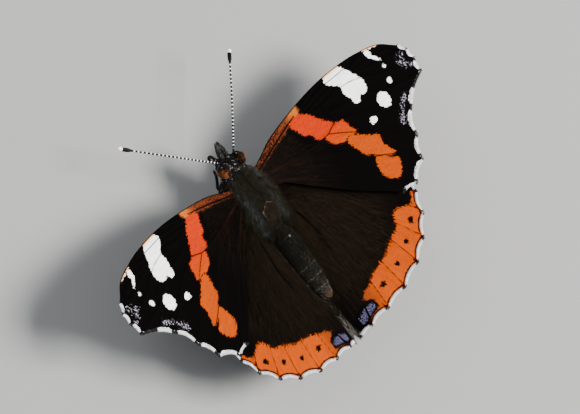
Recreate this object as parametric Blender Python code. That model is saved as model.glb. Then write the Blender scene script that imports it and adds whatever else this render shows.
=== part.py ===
"""Red admiral butterfly, standing with its wings spread in a shallow V, at life size.

The head faces -Y, the butterfly's left side is +X and the soles stand on Z = 0.
All sizes are in millimetres in a body frame whose origin lies between the wing
hinges, and place() moves them to the model's frame in metres.
"""
import math

import bmesh
import bpy
import numpy as np
from mathutils import Vector
from mathutils.geometry import delaunay_2d_cdt

MM = 0.001

# Stance and clearances
BODY_HEIGHT = 5.6
BODY_Y = -2.27
GAP = 0.3
LEFT_AND_RIGHT = ((1.0, "left"), (-1.0, "right"))

# Body: y, half width, top and bottom of each station along the axis
THORAX_STATIONS = (
    (-5.05, 1.75, 1.60, -1.00),
    (-4.45, 2.45, 1.78, -2.00),
    (-3.0, 2.92, 1.92, -2.85),
    (-0.5, 3.06, 2.10, -3.00),
    (1.6, 2.74, 1.98, -2.60),
    (2.9, 2.08, 1.72, -1.95),
    (3.6, 1.45, 1.30, -1.35),
)
ABDOMEN_STATIONS = (
    (3.9, 1.40, 1.25, -1.35),
    (5.4, 1.98, 1.62, -2.00),
    (8.4, 2.15, 1.50, -2.15),
    (11.4, 1.88, 1.28, -1.75),
    (13.8, 1.20, 0.98, -0.80),
    (15.1, 0.50, 0.62, 0.00),
)
HEAD_STATIONS = (
    (-5.35, 1.05, 1.55, -0.35),
    (-5.90, 1.25, 1.75, -0.60),
    (-6.70, 1.25, 1.65, -0.70),
    (-7.40, 1.10, 1.20, -0.60),
    (-7.90, 0.72, 0.75, -0.25),
)
SCUTELLUM_Y = 1.9
SCUTELLUM_RISE = 0.32
SCUTELLUM_LENGTH = 1.0
SEGMENT_COUNT = 7
SEGMENT_GROOVE = 0.05
SEGMENT_GROOVE_SHARE = 0.3
PLAIN_END = 0.2
BODY_SIDES = 26
CURVE_SAMPLES = 400
SMOOTH_ANGLE = math.radians(40.0)
THORAX_RINGS = 15
ABDOMEN_RINGS_PER_SEGMENT = 3
HEAD_RINGS = 10
HEAD_SQUARENESS = 2.6
BODY_SQUARENESS = 2.1

# Eyes: domes on the flat sides of the head
EYE_Y = -6.40
EYE_Z = 1.40
EYE_RADIUS_Y = 1.02
EYE_RADIUS_Z = 1.12
EYE_BULGE = 0.95
EYE_SIDES = 20
EYE_RINGS = 6
EYE_LAST_RING = math.radians(81.0)

# A tube whose direction is this near the vertical takes its sideways axis from Y instead
STEEP = 0.2

# Antennae: a thin shaft that ends in a club
ANTENNA_ROOT = (0.75, -7.45, 1.70)
ANTENNA_TIP = (12.25, -17.60, 0.56)
ANTENNA_BOW = 0.12
ANTENNA_SIDE_BOW = 0.10
ANTENNA_RADIUS = 0.26
CLUB_RADIUS = 0.46
CLUB_LENGTH = 2.6
CLUB_SWELL_LENGTH = 1.45
CLUB_END_RADIUS = 0.23
ANTENNA_SIDES = 8
ANTENNA_RINGS = 22

# Mouth parts
PALP_ROOT = (0.56, -8.42, 0.62)
PALP_BEND = (0.50, -9.10, 1.05)
PALP_TIP = (0.34, -9.78, 1.62)
PALP_RADIUS = 0.40
PALP_TAPER = 0.62
PALP_SIDES = 10
PALP_RINGS = 7
PROBOSCIS_CENTRE = (-8.20, -1.38)
PROBOSCIS_RADIUS = 0.66
PROBOSCIS_END_RADIUS = 0.50
PROBOSCIS_TURN = math.radians(250.0)
PROBOSCIS_THICKNESS = 0.25
PROBOSCIS_RINGS = 16

# Wings: planes through the hinges, u outwards and v backwards from each hinge
DIHEDRAL = math.radians(10.0)
HINGE_X = 1.6
FOREWING_HINGE = (-2.6, 1.15)
HINDWING_HINGE = (0.5, 0.05)
WING_THICKNESS = 0.5
VEIN_HALF_WIDTH = 0.34
VEIN_HEIGHT = 0.14
VEIN_STEP = 1.55
MARGIN_STEP = 1.5
MEMBRANE_STEP = 2.3
SCALLOP_DEPTH = 0.42
FULL_SCALLOP_CHORD = 3.0
ROOT_POINTS = 5
OUTLINE_SAMPLES = 200
VEIN_SAMPLES = 60
LEAST_EDGE = 0.02
# Least distances that keep the membrane's own points clear of veins, vein feet and the rim
FOOT_CLEARANCE = 0.27
FOOT_RIM_CLEARANCE = 0.3
MEMBRANE_VEIN_CLEARANCE = 0.9
MEMBRANE_RIM_CLEARANCE = 0.8
FOREWING_CAMBER = 0.45
HINDWING_CAMBER = 0.30
GUTTER_DROP = 0.75
GUTTER_START = -1.1
GUTTER_WIDTH = 2.2
FOREWING_REACH = 31.0
HINDWING_REACH = 23.0

# Forewing outline, from the front of the root to the apex
FOREWING_COSTA = ((2.0, -1.65), (5.0, -2.75), (10.1, -3.75), (18.4, -4.35), (24.1, -3.75), (27.5, -2.75))
# Outer margin: vein ends from the apex to the rear corner, and the tooth between them
FOREWING_MARGIN_VEINS = (
    ("R3", (30.1, -1.05)),
    ("R4", (30.9, 0.20)),
    ("R5", (31.0, 1.75)),
    ("M1", (30.6, 3.85)),
    ("M2", (25.6, 6.70)),
    ("M3", (23.85, 9.80)),
    ("CuA1", (22.15, 12.80)),
    ("CuA2", (18.95, 14.80)),
    ("2A", (16.4, 14.45)),
)
FOREWING_INNER = ((11.5, 10.3), (6.0, 5.3), (3.0, 2.55))
FOREWING_ROOT_V = (-1.55, 1.25)
# Forewing veins: start, one or two points that bend it, and end on the margin
FOREWING_VEINS = (
    ((1.9, -1.05), (6.0, -2.10), (11.0, -3.05), (15.5, -4.20)),
    ((1.9, -0.75), (8.0, -2.35), (14.0, -3.10), (22.2, -4.00)),
    ((1.9, -0.45), (7.5, -2.00), (11.5, -2.15), (14.6, -1.50)),
    ((11.5, -2.15), (17.0, -2.65), (21.0, -2.75), (25.6, -3.40)),
    ((14.6, -1.50), (20.0, -2.30), (25.0, -2.00), (30.1, -1.05)),
    ((20.0, -2.30), (24.0, -1.40), (27.0, -0.60), (30.9, 0.20)),
    ((14.6, -1.50), (20.2, -1.55), (25.6, 0.70), (31.0, 1.75)),
    ((14.9, -0.25), (20.0, 0.75), (25.0, 2.80), (30.6, 3.85)),
    ((15.0, 1.15), (19.8, 3.10), (22.9, 5.00), (25.6, 6.70)),
    ((12.7, 1.80), (16.6, 4.10), (20.2, 7.30), (23.85, 9.80)),
    ((8.2, 1.55), (13.9, 5.70), (18.0, 9.00), (22.15, 12.80)),
    ((5.6, 1.15), (10.4, 6.20), (14.6, 10.90), (18.95, 14.80)),
    ((1.9, 0.85), (6.6, 4.70), (11.8, 9.60), (16.4, 14.45)),
    ((1.9, 0.15), (5.6, 1.15), (8.2, 1.55), (12.7, 1.80)),
    ((14.6, -1.50), (14.9, -0.25), (15.0, 1.15), (12.7, 1.80)),
)

# Hindwing outline, from the front of the root round the outer margin
HINDWING_COSTA = ((2.6, -1.40), (5.5, -1.25), (10.5, 0.35), (15.2, 3.50), (18.5, 7.30))
HINDWING_MARGIN_VEINS = (
    ("Sc", (19.55, 10.10)),
    ("h0", (18.95, 12.30)),
    ("Rs", (17.75, 15.10)),
    ("M1", (15.35, 17.65)),
    ("M2", (12.30, 19.55)),
    ("M3", (8.40, 20.85)),
    ("CuA1", (4.45, 21.35)),
    ("CuA2", (0.95, 21.55)),
)
HINDWING_INNER = (
    (-0.95, 21.70),
    (-1.20, 20.20),
    (-1.35, 18.30),
    (-1.25, 16.60),
    (-0.75, 15.05),
    (0.15, 13.40),
    (0.82, 11.00),
    (1.00, 8.00),
    (1.00, 5.00),
)
HINDWING_ROOT_V = (-1.30, 2.60)
HINDWING_VEINS = (
    ((1.9, 0.15), (6.0, 0.90), (13.5, 4.30), (19.55, 10.10)),
    ((1.9, 0.65), (7.5, 4.40), (14.2, 9.60), (17.75, 15.10)),
    ((6.1, 5.30), (10.2, 9.20), (13.2, 13.60), (15.35, 17.65)),
    ((6.1, 6.60), (8.8, 10.40), (10.9, 14.60), (12.30, 19.55)),
    ((5.0, 7.60), (6.8, 11.80), (7.8, 16.00), (8.40, 20.85)),
    ((3.9, 6.60), (4.7, 11.00), (4.7, 16.00), (4.45, 21.35)),
    ((2.7, 4.30), (2.9, 9.50), (2.3, 16.00), (0.95, 21.55)),
    ((1.8, 1.20), (2.7, 4.30), (3.9, 6.60), (5.0, 7.60)),
    ((4.4, 3.10), (6.1, 5.30), (6.1, 6.60), (5.0, 7.60)),
)

# Legs: points from the thorax to the claws, and the radius at each one
MIDLEG_PATH = ((1.55, -0.80), (3.2, -0.80, -3.35), (5.4, -1.10, -2.35), (6.7, -1.60, -4.60))
MIDLEG_TARSUS = ((7.15, -1.90), (9.75, -3.10))
HINDLEG_PATH = ((1.30, 1.70), (2.5, 2.80, -3.10), (4.1, 5.00, -2.35), (5.2, 7.60, -4.60))
HINDLEG_TARSUS = ((5.45, 8.20), (6.3, 11.20))
COXA_RADIUS = 0.48
COXA_STUB = 0.40
FORELEG_STUB = 0.35
LEG_GAP = 0.40
FEMUR_RADIUS = 0.40
TIBIA_RADIUS = 0.30
TARSUS_RADIUS = 0.27
CLAW_RADIUS = 0.16
TARSUS_HEIGHT = 0.19
CLAW_HEIGHT = 0.15
TARSUS_SEGMENTS = 5
LEG_SIDES = 8
# Where along each part of a leg its rings sit, and how thick each is as a share of the full radius
LIMB_RINGS = ((0.18, 0.90), (0.50, 1.00), (0.82, 0.90))
FOOT_RINGS = ((0.08, 0.82), (0.60, 1.00))
FORELEG_PATH = (
    (0.95, -3.90),
    (0.92, -4.70, -2.90),
    (0.82, -5.50, -2.35),
    (0.76, -6.30, -1.75),
    (0.72, -7.05, -1.52),
)
FORELEG_RADIUS = 0.30
FORELEG_TAPER = 0.3
FORELEG_RINGS = 10

# Colours
SOOT_BROWN = (0.030, 0.022, 0.017)
FUR_GREY = (0.055, 0.048, 0.040)
EYE_BROWN = (0.120, 0.045, 0.020)
ANTENNA_BLACK = (0.020, 0.018, 0.018)
LEG_BROWN = (0.150, 0.095, 0.055)
WING_BLACK = (0.025, 0.018, 0.015)
WING_BROWN = (0.045, 0.026, 0.016)


def clear_scene():
    """Remove every object that the file opened with."""
    for item in list(bpy.data.objects):
        bpy.data.objects.remove(item, do_unlink=True)


def place(points):
    """Move body-frame millimetres to the model's frame in metres."""
    return (np.asarray(points, dtype=float) + (0.0, BODY_Y, BODY_HEIGHT)) * MM


def finish(colour, roughness):
    """Make a plain material for one colour."""
    name = "finish_%02x%02x%02x_%02d" % (*(int(255 * c) for c in colour), int(100 * roughness))
    material = bpy.data.materials.get(name)
    if material is None:
        material = bpy.data.materials.new(name)
        material.use_nodes = True
        shader = material.node_tree.nodes["Principled BSDF"]
        shader.inputs["Base Color"].default_value = (*colour, 1.0)
        shader.inputs["Roughness"].default_value = roughness
        shader.inputs["Metallic"].default_value = 0.0
    return material


def add_solid(name, points, faces, material, smooth=True):
    """Make one closed object from body-frame points, with its faces turned out."""
    mesh = bpy.data.meshes.new(name)
    mesh.from_pydata([tuple(p) for p in place(points)], [], [tuple(f) for f in faces])
    shell = bmesh.new()
    shell.from_mesh(mesh)
    bmesh.ops.triangulate(shell, faces=shell.faces[:])
    bmesh.ops.recalc_face_normals(shell, faces=shell.faces[:])
    shell.to_mesh(mesh)
    shell.free()
    if smooth:
        mesh.shade_smooth()
        mesh.set_sharp_from_angle(angle=SMOOTH_ANGLE)
    mesh.materials.append(material)
    solid = bpy.data.objects.new(name, mesh)
    bpy.context.collection.objects.link(solid)
    return solid


def smooth_through(points, fractions):
    """Read a smooth curve through the points: each span is a cubic whose slopes come from its neighbours."""
    pts = np.asarray(points, dtype=float)
    steps = np.linalg.norm(np.diff(pts, axis=0), axis=1)
    knots = np.concatenate(([0.0], np.cumsum(steps)))
    slopes = np.gradient(pts, knots, axis=0)
    at = np.asarray(fractions) * knots[-1]
    span = np.clip(np.searchsorted(knots, at, side="right") - 1, 0, len(pts) - 2)
    length = (knots[span + 1] - knots[span])[:, None]
    t = (at - knots[span])[:, None] / length
    start = (2 * t**3 - 3 * t**2 + 1) * pts[span] + (t**3 - 2 * t**2 + t) * length * slopes[span]
    end = (-2 * t**3 + 3 * t**2) * pts[span + 1] + (t**3 - t**2) * length * slopes[span + 1]
    return start + end


def ring(centre, axis_a, axis_b, sides, squareness=2.0):
    """A closed ring of points round a centre, an ellipse that may be squared off."""
    angle = np.arange(sides) * 2.0 * math.pi / sides
    power = 2.0 / squareness
    a = np.sign(np.cos(angle)) * np.abs(np.cos(angle)) ** power
    b = np.sign(np.sin(angle)) * np.abs(np.sin(angle)) ** power
    return np.asarray(centre) + a[:, None] * np.asarray(axis_a) + b[:, None] * np.asarray(axis_b)


def skin_rings(rings):
    """Join rings of equal count into a closed body whose ends are flat fans."""
    sides = len(rings[0])
    points = np.concatenate([*rings, [rings[0].mean(axis=0)], [rings[-1].mean(axis=0)]])
    faces = []
    for row in range(len(rings) - 1):
        for k in range(sides):
            near = row * sides
            far = near + sides
            faces.append((near + k, near + (k + 1) % sides, far + (k + 1) % sides, far + k))
    first_pole = len(rings) * sides
    last_row = (len(rings) - 1) * sides
    for k in range(sides):
        faces.append((first_pole, (k + 1) % sides, k))
        faces.append((first_pole + 1, last_row + k, last_row + (k + 1) % sides))
    return points, faces


def body_rings(stations, ys, squareness, pinch=None, rise=None):
    """Rings across the body axis at each y, with an optional groove and a rise of the back."""
    curve = smooth_through(sorted(stations), np.linspace(0.0, 1.0, CURVE_SAMPLES))
    rings = []
    for y in ys:
        half_width, top, bottom = (np.interp(y, curve[:, 0], curve[:, k]) for k in (1, 2, 3))
        shrink = 1.0 - (pinch(y) if pinch else 0.0)
        centre = (0.0, y, 0.5 * (top + bottom))
        across = (half_width * shrink, 0.0, 0.0)
        upward = (0.0, 0.0, 0.5 * (top - bottom) * shrink)
        one = ring(centre, across, upward, BODY_SIDES, squareness)
        if rise:
            above = np.clip((one[:, 2] - centre[2]) / (top - centre[2]), 0.0, 1.0)
            one[:, 2] += rise(y) * above**3
        rings.append(one)
    return rings


def build_body():
    """Thorax with its scutellum, ringed abdomen and head."""
    thorax_ys = np.linspace(THORAX_STATIONS[0][0], THORAX_STATIONS[-1][0], THORAX_RINGS)

    def scutellum(y):
        return SCUTELLUM_RISE * math.exp(-(((y - SCUTELLUM_Y) / SCUTELLUM_LENGTH) ** 2))

    points, faces = skin_rings(body_rings(THORAX_STATIONS, thorax_ys, BODY_SQUARENESS, rise=scutellum))
    add_solid("thorax", points, faces, finish(FUR_GREY, 0.85))

    first, last = ABDOMEN_STATIONS[0][0], ABDOMEN_STATIONS[-1][0]
    segment = (last - first) / SEGMENT_COUNT
    ys = np.linspace(first, last, SEGMENT_COUNT * ABDOMEN_RINGS_PER_SEGMENT + 1)

    def groove(y):
        near = abs((y - first) / segment - round((y - first) / segment)) * segment
        inside = first + PLAIN_END < y < last - PLAIN_END
        return SEGMENT_GROOVE * max(0.0, 1.0 - near / (SEGMENT_GROOVE_SHARE * segment)) if inside else 0.0

    points, faces = skin_rings(body_rings(ABDOMEN_STATIONS, ys, BODY_SQUARENESS, pinch=groove))
    add_solid("abdomen", points, faces, finish(SOOT_BROWN, 0.75))

    ys = np.linspace(HEAD_STATIONS[-1][0], HEAD_STATIONS[0][0], HEAD_RINGS)
    points, faces = skin_rings(body_rings(HEAD_STATIONS, ys, HEAD_SQUARENESS))
    add_solid("head", points, faces, finish(SOOT_BROWN, 0.8))


def build_eyes():
    """Each eye is a dome whose flat base faces the side of the head."""
    base_x = max(station[1] for station in HEAD_STATIONS) + GAP
    for side, word in LEFT_AND_RIGHT:
        rings = []
        for turn in np.linspace(0.0, EYE_LAST_RING, EYE_RINGS):
            centre = (side * (base_x + EYE_BULGE * math.sin(turn)), EYE_Y, EYE_Z)
            size = math.cos(turn)
            rings.append(ring(centre, (0, EYE_RADIUS_Y * size, 0), (0, 0, EYE_RADIUS_Z * size), EYE_SIDES))
        points, faces = skin_rings(rings)
        add_solid("eye_" + word, points, faces, finish(EYE_BROWN, 0.25))


def tube(path, radii, sides):
    """A closed tube along a path: a ring across the mean direction at each point."""
    path = np.asarray(path, dtype=float)
    along = np.gradient(path, axis=0)
    along /= np.linalg.norm(along, axis=1)[:, None]
    up = Vector((0.0, 0.0, 1.0))
    rings = []
    for centre, direction, radius in zip(path, along, radii):
        forward = Vector(direction)
        across = forward.cross(up)
        if across.length < STEEP:
            across = forward.cross(Vector((0.0, 1.0, 0.0)))
        across.normalize()
        raised = across.cross(forward).normalized()
        turned = ring((0, 0, 0), np.array(across), np.array(raised), 2 * sides)[1::2]
        rings.append(centre + radius * turned)
    return skin_rings(rings)


def build_antennae():
    """Shafts that spread forwards in a V and swell into clubs."""
    root, tip = np.array(ANTENNA_ROOT), np.array(ANTENNA_TIP)
    length = np.linalg.norm(tip - root)
    t = np.linspace(0.0, 1.0, ANTENNA_RINGS)
    path = root + t[:, None] * (tip - root)
    path[:, 0] += ANTENNA_SIDE_BOW * np.sin(math.pi * t)
    path[:, 2] += ANTENNA_BOW * np.sin(math.pi * t)
    from_tip = (1.0 - t) * length
    swell = np.clip((CLUB_LENGTH - from_tip) / CLUB_SWELL_LENGTH, 0.0, 1.0)
    radii = ANTENNA_RADIUS + (CLUB_RADIUS - ANTENNA_RADIUS) * np.sin(0.5 * math.pi * swell)
    radii[-1] = CLUB_END_RADIUS
    for side, word in LEFT_AND_RIGHT:
        points, faces = tube(path * (side, 1.0, 1.0), radii, ANTENNA_SIDES)
        add_solid("antenna_" + word, points, faces, finish(ANTENNA_BLACK, 0.45))


def build_mouth():
    """Two upturned palps, and the proboscis curled below the head."""
    t = np.linspace(0.0, 1.0, PALP_RINGS)
    bend = smooth_through((PALP_ROOT, PALP_BEND, PALP_TIP), t)
    radii = PALP_RADIUS * (1.0 - PALP_TAPER * t**2)
    for side, word in LEFT_AND_RIGHT:
        points, faces = tube(bend * (side, 1.0, 1.0), radii, PALP_SIDES)
        add_solid("labial_palp_" + word, points, faces, finish(SOOT_BROWN, 0.85))
    turn = np.linspace(0.0, PROBOSCIS_TURN, PROBOSCIS_RINGS)
    radius = np.linspace(PROBOSCIS_RADIUS, PROBOSCIS_END_RADIUS, PROBOSCIS_RINGS)
    y = PROBOSCIS_CENTRE[0] - radius * np.sin(turn)
    z = PROBOSCIS_CENTRE[1] + radius * np.cos(turn)
    path = np.stack([np.zeros_like(y), y, z], axis=1)
    points, faces = tube_in_plane(path, PROBOSCIS_THICKNESS, LEG_SIDES)
    add_solid("proboscis", points, faces, finish(SOOT_BROWN, 0.5))


def tube_in_plane(path, radius, sides):
    """A tube along a path that stays in the plane X = 0."""
    along = np.gradient(path, axis=0)
    along /= np.linalg.norm(along, axis=1)[:, None]
    rings = []
    for centre, direction in zip(path, along):
        outward = np.array((0.0, -direction[2], direction[1]))
        rings.append(ring(centre, (radius, 0, 0), radius * outward, sides))
    return skin_rings(rings)


def thorax_at(y):
    """Half width, top and bottom of the thorax at y."""
    curve = smooth_through(THORAX_STATIONS, np.linspace(0.0, 1.0, CURVE_SAMPLES))
    return [float(np.interp(y, curve[:, 0], curve[:, k])) for k in (1, 2, 3)]


def thorax_side(y, z):
    """Distance from the mid plane to the side of the thorax at y and z."""
    half_width, top, bottom = thorax_at(y)
    middle, half_height = 0.5 * (top + bottom), 0.5 * (top - bottom)
    part = min(abs(z - middle) / half_height, 1.0)
    return half_width * (1.0 - part**BODY_SQUARENESS) ** (1.0 / BODY_SQUARENESS)


def thorax_underside(x, y):
    """Height of the underside of the thorax at x and y."""
    half_width, top, bottom = thorax_at(y)
    middle, half_height = 0.5 * (top + bottom), 0.5 * (top - bottom)
    part = min(abs(x) / half_width, 1.0)
    return middle - half_height * (1.0 - part**BODY_SQUARENESS) ** (1.0 / BODY_SQUARENESS)


def leg_root(x, y, stub):
    """Two points on the outward normal below the thorax: the leg's face and the end of its stub."""
    half_width, top, bottom = thorax_at(y)
    middle, half_height = 0.5 * (top + bottom), 0.5 * (top - bottom)
    z = thorax_underside(x, y)
    normal = np.array((x / half_width**2, 0.0, (z - middle) / half_height**2))
    normal /= np.linalg.norm(normal)
    return [np.array((x, y, z)) + reach * normal for reach in (LEG_GAP, LEG_GAP + stub)]


def build_walking_leg(name, path, tarsus):
    """Coxa, femur, tibia and a five-part tarsus whose sole lies flat on the floor."""
    floor = -BODY_HEIGHT
    face, stub = leg_root(*path[0], COXA_STUB)
    joints = [stub, *path[1:]]
    heel = np.array((*tarsus[0], floor + TARSUS_HEIGHT))
    toe = np.array((*tarsus[1], floor + CLAW_HEIGHT))
    points = [face]
    radii = [COXA_RADIUS]
    limbs = zip(joints, joints[1:], (COXA_RADIUS, FEMUR_RADIUS, TIBIA_RADIUS))
    for start, end, radius in limbs:
        start, end = np.array(start), np.array(end)
        for t, swell in LIMB_RINGS:
            points.append(start + t * (end - start))
            radii.append(radius * swell)
    for k in range(TARSUS_SEGMENTS):
        for t, swell in FOOT_RINGS:
            points.append(heel + (k + t) / TARSUS_SEGMENTS * (toe - heel))
            radii.append(TARSUS_RADIUS * swell)
    points.append(toe)
    radii.append(CLAW_RADIUS)
    for side, word in LEFT_AND_RIGHT:
        mirrored = np.array(points) * (side, 1.0, 1.0)
        solid, faces = tube(mirrored, radii, LEG_SIDES)
        solid[:, 2] = np.maximum(solid[:, 2], floor)
        add_solid(name + "_" + word, solid, faces, finish(LEG_BROWN, 0.6))


def build_forelegs():
    """Short brush-like forelegs, folded forwards below the head."""
    root = leg_root(*FORELEG_PATH[0], FORELEG_STUB)
    t = np.linspace(0.0, 1.0, FORELEG_RINGS)
    path = smooth_through([*root, *FORELEG_PATH[1:]], t)
    radii = FORELEG_RADIUS * (1.0 - FORELEG_TAPER * t)
    for side, word in LEFT_AND_RIGHT:
        points, faces = tube(path * (side, 1.0, 1.0), radii, LEG_SIDES)
        add_solid("foreleg_" + word, points, faces, finish(SOOT_BROWN, 0.85))


def resample(curve, step):
    """Even points along a fine curve, both ends kept."""
    lengths = np.concatenate(([0.0], np.cumsum(np.linalg.norm(np.diff(curve, axis=0), axis=1))))
    count = max(int(round(lengths[-1] / step)), 1) + 1
    at = np.linspace(0.0, lengths[-1], count)
    return np.stack([np.interp(at, lengths, curve[:, k]) for k in range(curve.shape[1])], axis=1)


def scallop(start, end, depth):
    """Points of a margin between two vein ends, drawn in by the depth at its middle."""
    start, end = np.array(start), np.array(end)
    chord = end - start
    inward = np.array((-chord[1], chord[0])) / np.linalg.norm(chord)
    count = max(int(round(np.linalg.norm(chord) / MARGIN_STEP)), 2)
    t = np.arange(count) / count
    return start + t[:, None] * chord + (depth * np.sin(math.pi * t))[:, None] * inward


def root_edge(hinge, v_from, v_to, count):
    """Points down the wing's root, one gap away from the side of the thorax."""
    edge = []
    for v in np.linspace(v_from, v_to, count):
        y, z = hinge[0] + v, hinge[1]
        nearest = min(abs(z - 0.5 * WING_THICKNESS), abs(z))
        edge.append(((thorax_side(y, nearest) + GAP - HINGE_X) / math.cos(DIHEDRAL), v))
    return edge


def wing_outline(hinge, costa, margin, inner, root_v):
    """The closed outline of a wing, counter-clockwise from the front of its root."""
    root = root_edge(hinge, root_v[1], root_v[0], ROOT_POINTS)
    ends = [np.array(point) for _, point in margin]
    fine = np.linspace(0.0, 1.0, OUTLINE_SAMPLES)
    front = resample(smooth_through([root[-1], *costa, ends[0]], fine), MARGIN_STEP)
    back = resample(smooth_through([ends[-1], *inner, root[0]], fine), MARGIN_STEP)
    outer = []
    for start, end in zip(ends, ends[1:]):
        share = min(1.0, np.linalg.norm(end - start) / FULL_SCALLOP_CHORD)
        outer.append(scallop(start, end, SCALLOP_DEPTH * share))
    return np.concatenate([front[:-1], *outer, back[:-1], root[:-1]])


def forewing_sag(u, v):
    """Droop of the forewing towards its outer margin."""
    return -FOREWING_CAMBER * (np.hypot(u, v) / FOREWING_REACH) ** 2


def hindwing_sag(u, v):
    """Droop of the hindwing outwards, and the gutter that it folds along the abdomen."""
    fold = np.clip(1.0 - (u - GUTTER_START) / GUTTER_WIDTH, 0.0, 1.0)
    return -HINDWING_CAMBER * (np.hypot(u, v) / HINDWING_REACH) ** 2 - GUTTER_DROP * fold**2


def distance_to_lines(points, lines):
    """Distance from each point to the nearest of several polylines."""
    best = np.full(len(points), np.inf)
    for line in lines:
        for a, b in zip(line, line[1:]):
            span = b - a
            t = np.clip(((points - a) @ span) / (span @ span), 0.0, 1.0)
            best = np.minimum(best, np.linalg.norm(points - a - t[:, None] * span, axis=1))
    return best


def vein_lines(veins):
    """Smooth centre lines of the veins, sampled evenly."""
    fine = np.linspace(0.0, 1.0, VEIN_SAMPLES)
    return [resample(smooth_through(vein, fine), VEIN_STEP) for vein in veins]


def wing_points(outline, lines):
    """Every point of the membrane and every edge that the triangles must follow."""
    points = [np.asarray(outline)]
    edges = [(k, (k + 1) % len(outline)) for k in range(len(outline))]
    count = len(outline)

    def add_run(run):
        nonlocal count
        points.append(run)
        edges.extend((count + k, count + k + 1) for k in range(len(run) - 1))
        count += len(run)

    closed = [np.vstack([outline, outline[:1]])]
    for line in lines:
        add_run(line)
        others = [other for other in lines if other is not line]
        along = np.gradient(line, axis=0)
        across = np.stack([-along[:, 1], along[:, 0]], axis=1) / np.linalg.norm(along, axis=1)[:, None]
        for side in (-1.0, 1.0):
            foot = line + side * VEIN_HALF_WIDTH * across
            keep = distance_to_lines(foot, others) > FOOT_CLEARANCE
            keep &= distance_to_lines(foot, closed) > FOOT_RIM_CLEARANCE
            points.append(foot[keep])
            count += int(keep.sum())
    low, high = np.min(outline, axis=0), np.max(outline, axis=0)
    steps = [np.arange(low[k], high[k], MEMBRANE_STEP) for k in (0, 1)]
    grid = np.stack([axis.ravel() for axis in np.meshgrid(*steps)], axis=1)
    clear = distance_to_lines(grid, lines) > MEMBRANE_VEIN_CLEARANCE
    clear &= distance_to_lines(grid, closed) > MEMBRANE_RIM_CLEARANCE
    points.append(grid[clear])
    return np.concatenate(points), edges


def build_wing(name, hinge, outline, veins, sag, material):
    """A thin cambered plate with its veins raised on both faces, split alike above and below."""
    lines = vein_lines(veins)
    points, edges = wing_points(outline, lines)
    boundary = [list(range(len(outline)))]
    flat, _, triangles, *_ = delaunay_2d_cdt([Vector(p) for p in points], edges, boundary, 1, LEAST_EDGE)
    used, renumbered = np.unique(np.array(triangles), return_inverse=True)
    flat = np.array([tuple(p) for p in flat])[used]
    triangles = [tuple(t) for t in renumbered.reshape(-1, 3).tolist()]
    u, v = flat[:, 0], flat[:, 1]
    ridge = VEIN_HEIGHT * np.clip(1.0 - distance_to_lines(flat, lines) / VEIN_HALF_WIDTH, 0.0, 1.0)
    half = 0.5 * WING_THICKNESS + ridge
    middle = hinge[1] + u * math.sin(DIHEDRAL) + sag(u, v)
    rim = boundary_loop(triangles)
    for side, word in LEFT_AND_RIGHT:
        x = side * (HINGE_X + u * math.cos(DIHEDRAL))
        y = hinge[0] + v
        inwards, upwards = side * half * math.sin(DIHEDRAL), half * math.cos(DIHEDRAL)
        top = np.stack([x - inwards, y, middle + upwards], axis=1)
        bottom = np.stack([x + inwards, y, middle - upwards], axis=1)
        count = len(flat)
        faces = list(triangles)
        faces += [tuple(k + count for k in reversed(t)) for t in triangles]
        for a, b in rim:
            faces.append((b, a, a + count))
            faces.append((b, a + count, b + count))
        add_solid(name + "_" + word, np.concatenate([top, bottom]), faces, material)


def boundary_loop(triangles):
    """Edges that belong to one triangle only, in that triangle's direction."""
    uses = {}
    for a, b, c in triangles:
        for edge in ((a, b), (b, c), (c, a)):
            uses[tuple(sorted(edge))] = uses.get(tuple(sorted(edge)), []) + [edge]
    return [found[0] for found in uses.values() if len(found) == 1]


def build_wings():
    """Forewings above and hindwings below, each pair mirrored."""
    edges = (FOREWING_COSTA, FOREWING_MARGIN_VEINS, FOREWING_INNER, FOREWING_ROOT_V)
    outline = wing_outline(FOREWING_HINGE, *edges)
    build_wing("forewing", FOREWING_HINGE, outline, FOREWING_VEINS, forewing_sag, finish(WING_BLACK, 0.7))
    edges = (HINDWING_COSTA, HINDWING_MARGIN_VEINS, HINDWING_INNER, HINDWING_ROOT_V)
    outline = wing_outline(HINDWING_HINGE, *edges)
    build_wing("hindwing", HINDWING_HINGE, outline, HINDWING_VEINS, hindwing_sag, finish(WING_BROWN, 0.7))


clear_scene()
build_body()
build_eyes()
build_antennae()
build_mouth()
build_walking_leg("midleg", MIDLEG_PATH, MIDLEG_TARSUS)
build_walking_leg("hindleg", HINDLEG_PATH, HINDLEG_TARSUS)
build_forelegs()
build_wings()
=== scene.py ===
"""Finish of a still, life-size red admiral: skin, coat, scaled wings, eyes, feelers and legs."""
import math
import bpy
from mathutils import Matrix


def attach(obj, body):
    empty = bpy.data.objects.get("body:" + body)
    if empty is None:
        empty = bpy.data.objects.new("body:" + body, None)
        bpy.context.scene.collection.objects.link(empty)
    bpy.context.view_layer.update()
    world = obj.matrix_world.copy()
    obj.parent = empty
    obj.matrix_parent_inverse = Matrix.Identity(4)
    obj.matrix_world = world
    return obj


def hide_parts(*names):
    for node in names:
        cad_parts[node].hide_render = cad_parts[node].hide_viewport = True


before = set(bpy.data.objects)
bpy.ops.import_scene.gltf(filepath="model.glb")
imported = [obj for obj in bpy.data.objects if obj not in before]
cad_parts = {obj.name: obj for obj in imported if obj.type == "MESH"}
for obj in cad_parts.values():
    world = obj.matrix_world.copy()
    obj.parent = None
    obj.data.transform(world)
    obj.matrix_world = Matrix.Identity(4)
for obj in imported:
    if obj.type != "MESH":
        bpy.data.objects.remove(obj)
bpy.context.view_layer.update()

from types import SimpleNamespace

import bpy
import numpy as np
from mathutils import Matrix, Vector

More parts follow.
